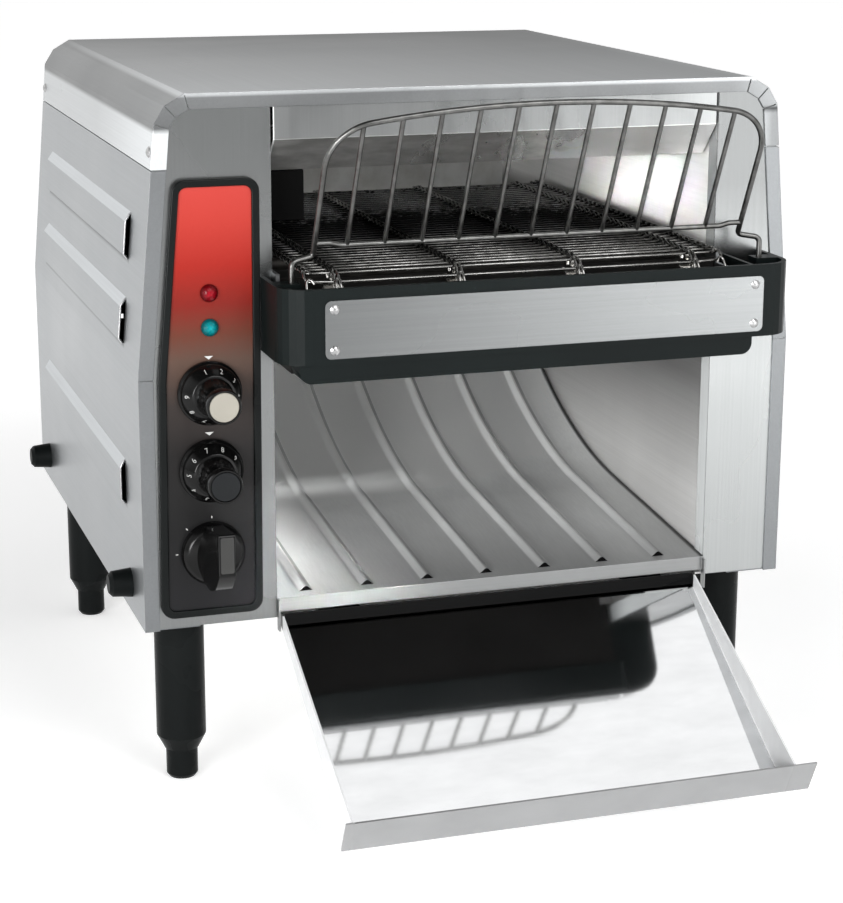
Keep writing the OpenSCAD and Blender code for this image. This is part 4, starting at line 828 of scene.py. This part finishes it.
GUARD_X, ARCH_HALF, ARCH_H, SHOULDER_R, CROWN_R = 23.75, 119.0, 81.0, 26.0, 577.0
LEAN = math.radians(26)
GUARD_Y, BAR_Z = -20.0, 205.0
ARCH_R, UPRIGHT_R, LOW_BAR_R = 1.5, 1.3, 1.4
UPRIGHTS, UPRIGHT_PITCH, MIDDLE_UPRIGHT_X = 11, 20, -1.7
FOOT_OUT, FOOT_END_Z, KNEE_DROP = 12, 184.1, 6
CROWN = math.asin((ARCH_HALF - SHOULDER_R) / (CROWN_R - SHOULDER_R))
SHOULDER_U = ARCH_H - CROWN_R + (CROWN_R - SHOULDER_R) * math.cos(CROWN)


def on_guard(x, u):
    """Point of the guard's leaning plane: x from its middle, u up the slope."""
    return (GUARD_X + x, GUARD_Y - u * math.sin(LEAN), BAR_Z + u * math.cos(LEAN))


def arch_u(x):
    """Height of the arch up the slope, over a place x from its middle."""
    x = abs(x)
    if x <= CROWN_R * math.sin(CROWN):
        return ARCH_H - CROWN_R + math.sqrt(CROWN_R ** 2 - x ** 2)
    return SHOULDER_U + math.sqrt(SHOULDER_R ** 2 - (x - ARCH_HALF + SHOULDER_R) ** 2)


half_arch = [(ARCH_HALF, SHOULDER_U * k / 8) for k in range(1, 8)]
half_arch += [(ARCH_HALF - SHOULDER_R + SHOULDER_R * math.cos(a), SHOULDER_U + SHOULDER_R * math.sin(a))
              for a in ((math.pi / 2 - CROWN) * k / 16 for k in range(17))]
half_arch += [(CROWN_R * math.sin(a), ARCH_H - CROWN_R + CROWN_R * math.cos(a))
              for a in (CROWN * (1 - k / 14) for k in range(1, 14))]
guard = Shape()
over = [on_guard(x, u) for x, u in half_arch]
over = over + [on_guard(0, ARCH_H)] + [(2 * GUARD_X - p[0], p[1], p[2]) for p in over[::-1]]


def guard_foot(side):
    """The arch's end, bent outwards at a knee and down into its socket."""
    foot_x = GUARD_X + side * (ARCH_HALF + FOOT_OUT)
    knee = on_guard(side * ARCH_HALF, -KNEE_DROP)
    return rounded([on_guard(side * ARCH_HALF, 3), knee, (foot_x, GUARD_Y, knee[2] - 2),
                    (foot_x, GUARD_Y, FOOT_END_Z)], [0, 2.6, 3.4, 0], 7, closed=False)


guard.tube([*guard_foot(1)[::-1], *over, *guard_foot(-1)], ARCH_R, 16)
for k in range(UPRIGHTS):
    x = (k - (UPRIGHTS - 1) / 2) * UPRIGHT_PITCH + MIDDLE_UPRIGHT_X
    guard.tube([on_guard(x, u) for u in (0, arch_u(x) / 2, arch_u(x))], UPRIGHT_R, 12)
low_bar = [(-ARCH_HALF, 1.6), (-ARCH_HALF + 8, 1.6), (-ARCH_HALF + 14, 0), (ARCH_HALF - 12, 0),
           (ARCH_HALF - 7, 1.6), (ARCH_HALF, 1.6)]
guard.tube(rounded([on_guard(x, u) for x, u in low_bar], 6, 4, closed=False), LOW_BAR_R, 12)
guard.make("guard_wires", "guard", "guard", "guard_wire", ["bread_guard"], angle=50)

# ---------------------------------------------------------------- slide

SLIDE_Z, SLOPE, FLAT_D, SLIDE_R = 12.0, math.radians(5.5), 130.0, 300.0
ARC_Y = FLAT_D - SLIDE_R * math.sin(SLOPE)
ARC_Z = SLIDE_Z + FLAT_D * math.tan(SLOPE) + SLIDE_R * math.cos(SLOPE)
FLAT_S = FLAT_D / math.cos(SLOPE)
LAST_A = math.asin((344 - ARC_Y) / SLIDE_R)
SLIDE_S = FLAT_S + SLIDE_R * (LAST_A - SLOPE)
BEAD_XS = [9 + 34.5 * k for k in range(-3, 4)]
BEAD_HALF, BEAD_H, BEAD_START = 4.2, 2.7, 6.5
MOUTH_HALF, MOUTH_H, MOUTH_FRONT, MOUTH_BACK = 3.7, 2.58, 6.7, 9.5


def on_slide(x, s, lift):
    """Point at distance s along the slide from its front edge, lifted off the sheet."""
    if s < FLAT_S:
        a, y, z = SLOPE, s * math.cos(SLOPE), SLIDE_Z + s * math.sin(SLOPE)
    else:
        a = SLOPE + (s - FLAT_S) / SLIDE_R
        y, z = ARC_Y + SLIDE_R * math.sin(a), ARC_Z - SLIDE_R * math.cos(a)
    return (x, y - lift * math.sin(a), z + lift * math.cos(a))


def bead_round(d):
    """Share of a bead's height at distance d from its middle."""
    return math.cos(math.pi / 2 * d / BEAD_HALF) ** 2


def bead_lift(x, s):
    """Height of the pressed beads: round, cut open at their front ends, fading out at the back."""
    d = min(abs(x - b) for b in BEAD_XS)
    if d >= BEAD_HALF or s < BEAD_START:
        return 0.0
    fade = min(1.0, (SLIDE_S - 30 - s) / 26)
    return max(0.0, fade) * BEAD_H * bead_round(d)


CUT_S = BEAD_START - 0.01
slide_xs = sorted({OPEN_X0, OPEN_X1} | {OPEN_X0 + (OPEN_X1 - OPEN_X0) * k / 60 for k in range(61)}
                  | {b + BEAD_HALF * k / 7 for b in BEAD_XS for k in range(-7, 8)})
slide_ss = [0, 1.5, 3, 4.5, 6.0, CUT_S, BEAD_START + 0.01]
slide_ss += [7 + (SLIDE_S - 7) * k / 110 for k in range(111)]
slide = Shape()
nx = len(slide_xs)
rows = [[on_slide(x, s, bead_lift(x, s)) for x in slide_xs] for s in slide_ss]
quads = []
for i in range(len(slide_ss) - 1):
    for j in range(nx - 1):
        mid = (slide_xs[j] + slide_xs[j + 1]) / 2
        if slide_ss[i] == CUT_S and min(abs(mid - b) for b in BEAD_XS) < BEAD_HALF - 0.2:
            continue  # the opening under a bead's cut front end
        quads.append((i * nx + j, i * nx + j + 1, (i + 1) * nx + j + 1, (i + 1) * nx + j))
slide.add([p for r in rows for p in r], quads)
slide.make("slide_sheet", "slide", "casing", "slide_steel", ["toast_slide"], angle=50)
lip = Shape().prism([(0.0, 12.0), (0.0, 4.0), (1.0, 4.0), (1.0, 12.0)], "X", OPEN_X0, OPEN_X1)
for x in (OPEN_X0, OPEN_X1 - 1):
    lip.prism([(-3.0, 11.4), (-3.0, -6.0), (1.0, -6.0), (1.0, 11.4)], "X", x, x + 1)
lip.make("slide_lip", "lip", "casing", "slide_steel", bevel=0.15)
mouths = Shape()  # painted shade: dark solids in the beads' cut front ends, standing in for the shade under the beads
for b in BEAD_XS:
    across = [MOUTH_HALF * k / 10 for k in range(-10, 11)]
    over = [(b + d, MOUTH_H * bead_round(d) - 0.02) for d in across]
    ring = over + [(x, -0.1) for x, _ in over[::-1]]
    n = len(ring)
    mouths.add([on_slide(x, s, h) for s in (MOUTH_FRONT, MOUTH_BACK) for x, h in ring],
               [list(range(n)), list(range(n, 2 * n))[::-1]]
               + [(k, (k + 1) % n, n + (k + 1) % n, n + k) for k in range(n)])
mouths.make("bead_mouths", "cover", "casing", "slide_steel")

# ---------------------------------------------------------------- dials

DIAL_X, DIAL_Y = -147.3, -1.9
DIAL_LEN, SKIRT_R, GRIP_R = 35.0, 17.0, 9.2
FLUTES, FLUTE_DEPTH = 14, 0.35
CONE_R, CONE_D, CONE_SIN, CONE_COS = 13.4, 9.31, 0.529, 0.849
SPINDLE = [(3.0, -13.0), (3.0, 0.2)]


def dial_profile():
    """Numbered skirt, ring step, waist and grip, as (radius, length to the front)."""
    skirt = [(3.0, 0), (SKIRT_R - 0.6, 0), (SKIRT_R, 0.6), (SKIRT_R, 2.4), (SKIRT_R - 0.4, 3.0),
             (16.1, 3.3), (15.9, 3.5), (15.75, 5.5), (15.4, 6.1), (11.6, 12.2), (11.2, 12.4)]
    waist = [(10.2, 12.6), (9.6, 13.6), (8.9, 16.5), (8.5, 19.5), (8.5, DIAL_LEN - 9.5),
             (8.8, DIAL_LEN - 8.5)]
    return skirt + waist + [
        (GRIP_R - 0.1, DIAL_LEN - 5.5), (GRIP_R - 0.1, DIAL_LEN - 0.9), (GRIP_R - 0.5, DIAL_LEN - 0.1),
        (GRIP_R - 1.2, DIAL_LEN - 0.1), (GRIP_R - 1.5, DIAL_LEN - 0.8), (3.0, DIAL_LEN - 0.8)]


def waist_groove(r, d, t):
    """Grip flutes between the skirt and the grip's rim."""
    return r - FLUTE_DEPTH * max(0, math.cos(FLUTES * t)) if 15 < d < DIAL_LEN - 9 else r


for knob, body, z in (("speed_knob", "speed_dial", SPEED_Z), ("power_knob", "power_dial", POWER_Z)):
    dial = Shape().turned(dial_profile(), (DIAL_X, DIAL_Y, z), 112, waist_groove)
    dial.turned(SPINDLE, (DIAL_X, DIAL_Y, z), 32)
    dial.make(knob + "_body", "dial", body, "dial_plastic", [knob], angle=32)


def numeral(text, size):
    """Outline mesh of a plain number, flat and centred: vertices and faces."""
    curve = bpy.data.curves.new("numeral", "FONT")
    curve.body, curve.size, curve.align_x, curve.align_y = text, size, "CENTER", "CENTER"
    curve.extrude, curve.resolution_u, curve.offset = 0.03, 4, -0.07
    ob = bpy.data.objects.new("numeral", curve)
    bpy.context.scene.collection.objects.link(ob)
    bpy.context.view_layer.update()
    mesh = ob.to_mesh()
    data = [v.co.copy() for v in mesh.vertices], [list(p.vertices) for p in mesh.polygons]
    ob.to_mesh_clear()
    bpy.data.objects.remove(ob)
    return data


def on_dial(z, turn, up, side, lift):
    """Point on the dial's cone near its numbers: turn clockwise from the top, up along the slope."""
    r = CONE_R + CONE_SIN * up + CONE_COS * lift
    d = CONE_D - CONE_COS * up + CONE_SIN * lift
    t = math.radians(turn)
    return (DIAL_X + r * math.sin(t) + side * math.cos(t), DIAL_Y - d,
            z + r * math.cos(t) - side * math.sin(t))


NUMBER_STEP, NUMBER_SIZE, NUMBER_NARROW = 36, 5.2, 0.72
for body, z, first in (("speed_dial", SPEED_Z, -16), ("power_dial", POWER_Z, -233)):
    marks = Shape()
    for digit in range(1, 10):
        verts, faces = numeral(str(digit), NUMBER_SIZE)
        turn = first + NUMBER_STEP * (digit - 1)
        marks.add([on_dial(z, turn, v.y, NUMBER_NARROW * v.x, 0.05 + v.z) for v in verts], faces)
    marks.make(body + "_numbers", "print", body, "dial_plastic")

# ---------------------------------------------------------------- function switch

BASE_PROFILE = [(3.0, 0), (SKIRT_R - 0.5, 0), (SKIRT_R, 0.5), (SKIRT_R, 3.4), (SKIRT_R - 1.0, 5.0),
                (14.6, 6.4), (13.6, 7.0), (3.0, 7.0)]
base = Shape().turned(BASE_PROFILE, (DIAL_X, DIAL_Y, FUNC_Z), 96)
base.turned(SPINDLE, (DIAL_X, DIAL_Y, FUNC_Z), 32)
base.make("function_base", "dial", "function_dial", "dial_plastic", ["function_knob"], angle=32)

# thick shaped grip over the base, as rings of (length to the front, lower end)
GRIP_RINGS = [(5, -17.6), (8, -17.6), (11, -17.4), (14, -16.8), (18, -15.6), (22, -14.2), (25, -12.8),
              (28, -10.4), (31, -7.2), (33.6, -4.2), (34.7, -2.8), (35, -2.0)]
grip_pts, grip_faces = [], []
STEPS = 14  # down each side of a ring
for d, low in GRIP_RINGS:
    shrink = 0.0 if d < 34 else (0.25 if d < DIAL_LEN else 0.7)  # rounds the front edge
    top, low, end = 15.6 + 0.1 * d - shrink, low + shrink * 0.5, 4.4 - shrink * 0.6
    middle = end + 6.0 * ((DIAL_LEN - d) / 30) ** 1.6
    half = [(end + (middle - end) * math.sin(math.pi * j / STEPS), top + (low - top) * j / STEPS)
            for j in range(STEPS + 1)]
    ring = half + [(-w, u) for w, u in half[::-1]]
    grip_pts += [(DIAL_X + w, DIAL_Y - d, FUNC_Z + u) for w, u in ring]
n = 2 * (STEPS + 1)
for i in range(len(GRIP_RINGS) - 1):
    grip_faces += [(i * n + k, i * n + (k + 1) % n, (i + 1) * n + (k + 1) % n, (i + 1) * n + k)
                   for k in range(n)]
grip_faces += [list(range(n))[::-1], list(range(len(grip_pts) - n, len(grip_pts)))]
grip = Shape().add(grip_pts, grip_faces)
grip.make("function_grip", "dial", "function_dial", "dial_plastic", angle=40)
FACE_HALF, FACE_TOP, FACE_LOW = 3.5, 17.9, -1.4
corners = [(-FACE_HALF, FACE_TOP), (FACE_HALF, FACE_TOP), (FACE_HALF, FACE_LOW), (-FACE_HALF, FACE_LOW)]
face = Shape().prism(rounded([(DIAL_X + w, FUNC_Z + u) for w, u in corners], 0.8, 3), "Y",
                     DIAL_Y - DIAL_LEN - 0.05, DIAL_Y - DIAL_LEN + 0.4)
face.make("function_face", "face", "function_dial", "cap_grey")

# ---------------------------------------------------------------- dished caps in the dials' ends

CAP_PROFILE = [(3.0, 33.9), (7.6, 33.9), (7.6, 34.7), (7.3, 35.0), (6.6, 35.0), (5.2, 34.85),
               (2.5, 34.7)]
for cap, body, z, material, slot in (("speed_cap", "speed_dial", SPEED_Z, "ivory", "cap_ivory"),
                                     ("power_cap", "power_dial", POWER_Z, "cap_dark", "cap_grey")):
    disc = Shape().turned(CAP_PROFILE, (DIAL_X, DIAL_Y, z), 72)
    disc.make(cap + "_disc", material, body, slot, [cap])

# ---------------------------------------------------------------- printed marks on the overlay

PRINT_FRONT, PRINT_BACK = -1.66, -1.6
TRIANGLES = ((DIAL_X + 0.2, 146.6), (DIAL_X - 0.3, 106.2))  # one over each dial
TICK_TURNS = (0, -45, -90)  # round the function switch
prints = Shape()
for x, z in TRIANGLES:
    prints.prism([(x - 2.3, z + 0.9), (x + 2.3, z + 0.9), (x, z - 0.9)], "Y", PRINT_FRONT, PRINT_BACK)
for turn in TICK_TURNS:
    t = math.radians(turn)
    u, v = Vector((math.sin(t), math.cos(t))), Vector((math.cos(t), -math.sin(t)))
    c = Vector((DIAL_X, FUNC_Z))
    tick = ((18.4, -0.25), (19.7, -0.25), (19.7, 0.25), (18.4, 0.25))
    prints.prism([tuple(c + u * a + v * b) for a, b in tick], "Y", PRINT_FRONT, PRINT_BACK)
prints.make("overlay_marks", "print", "casing", "overlay_film")
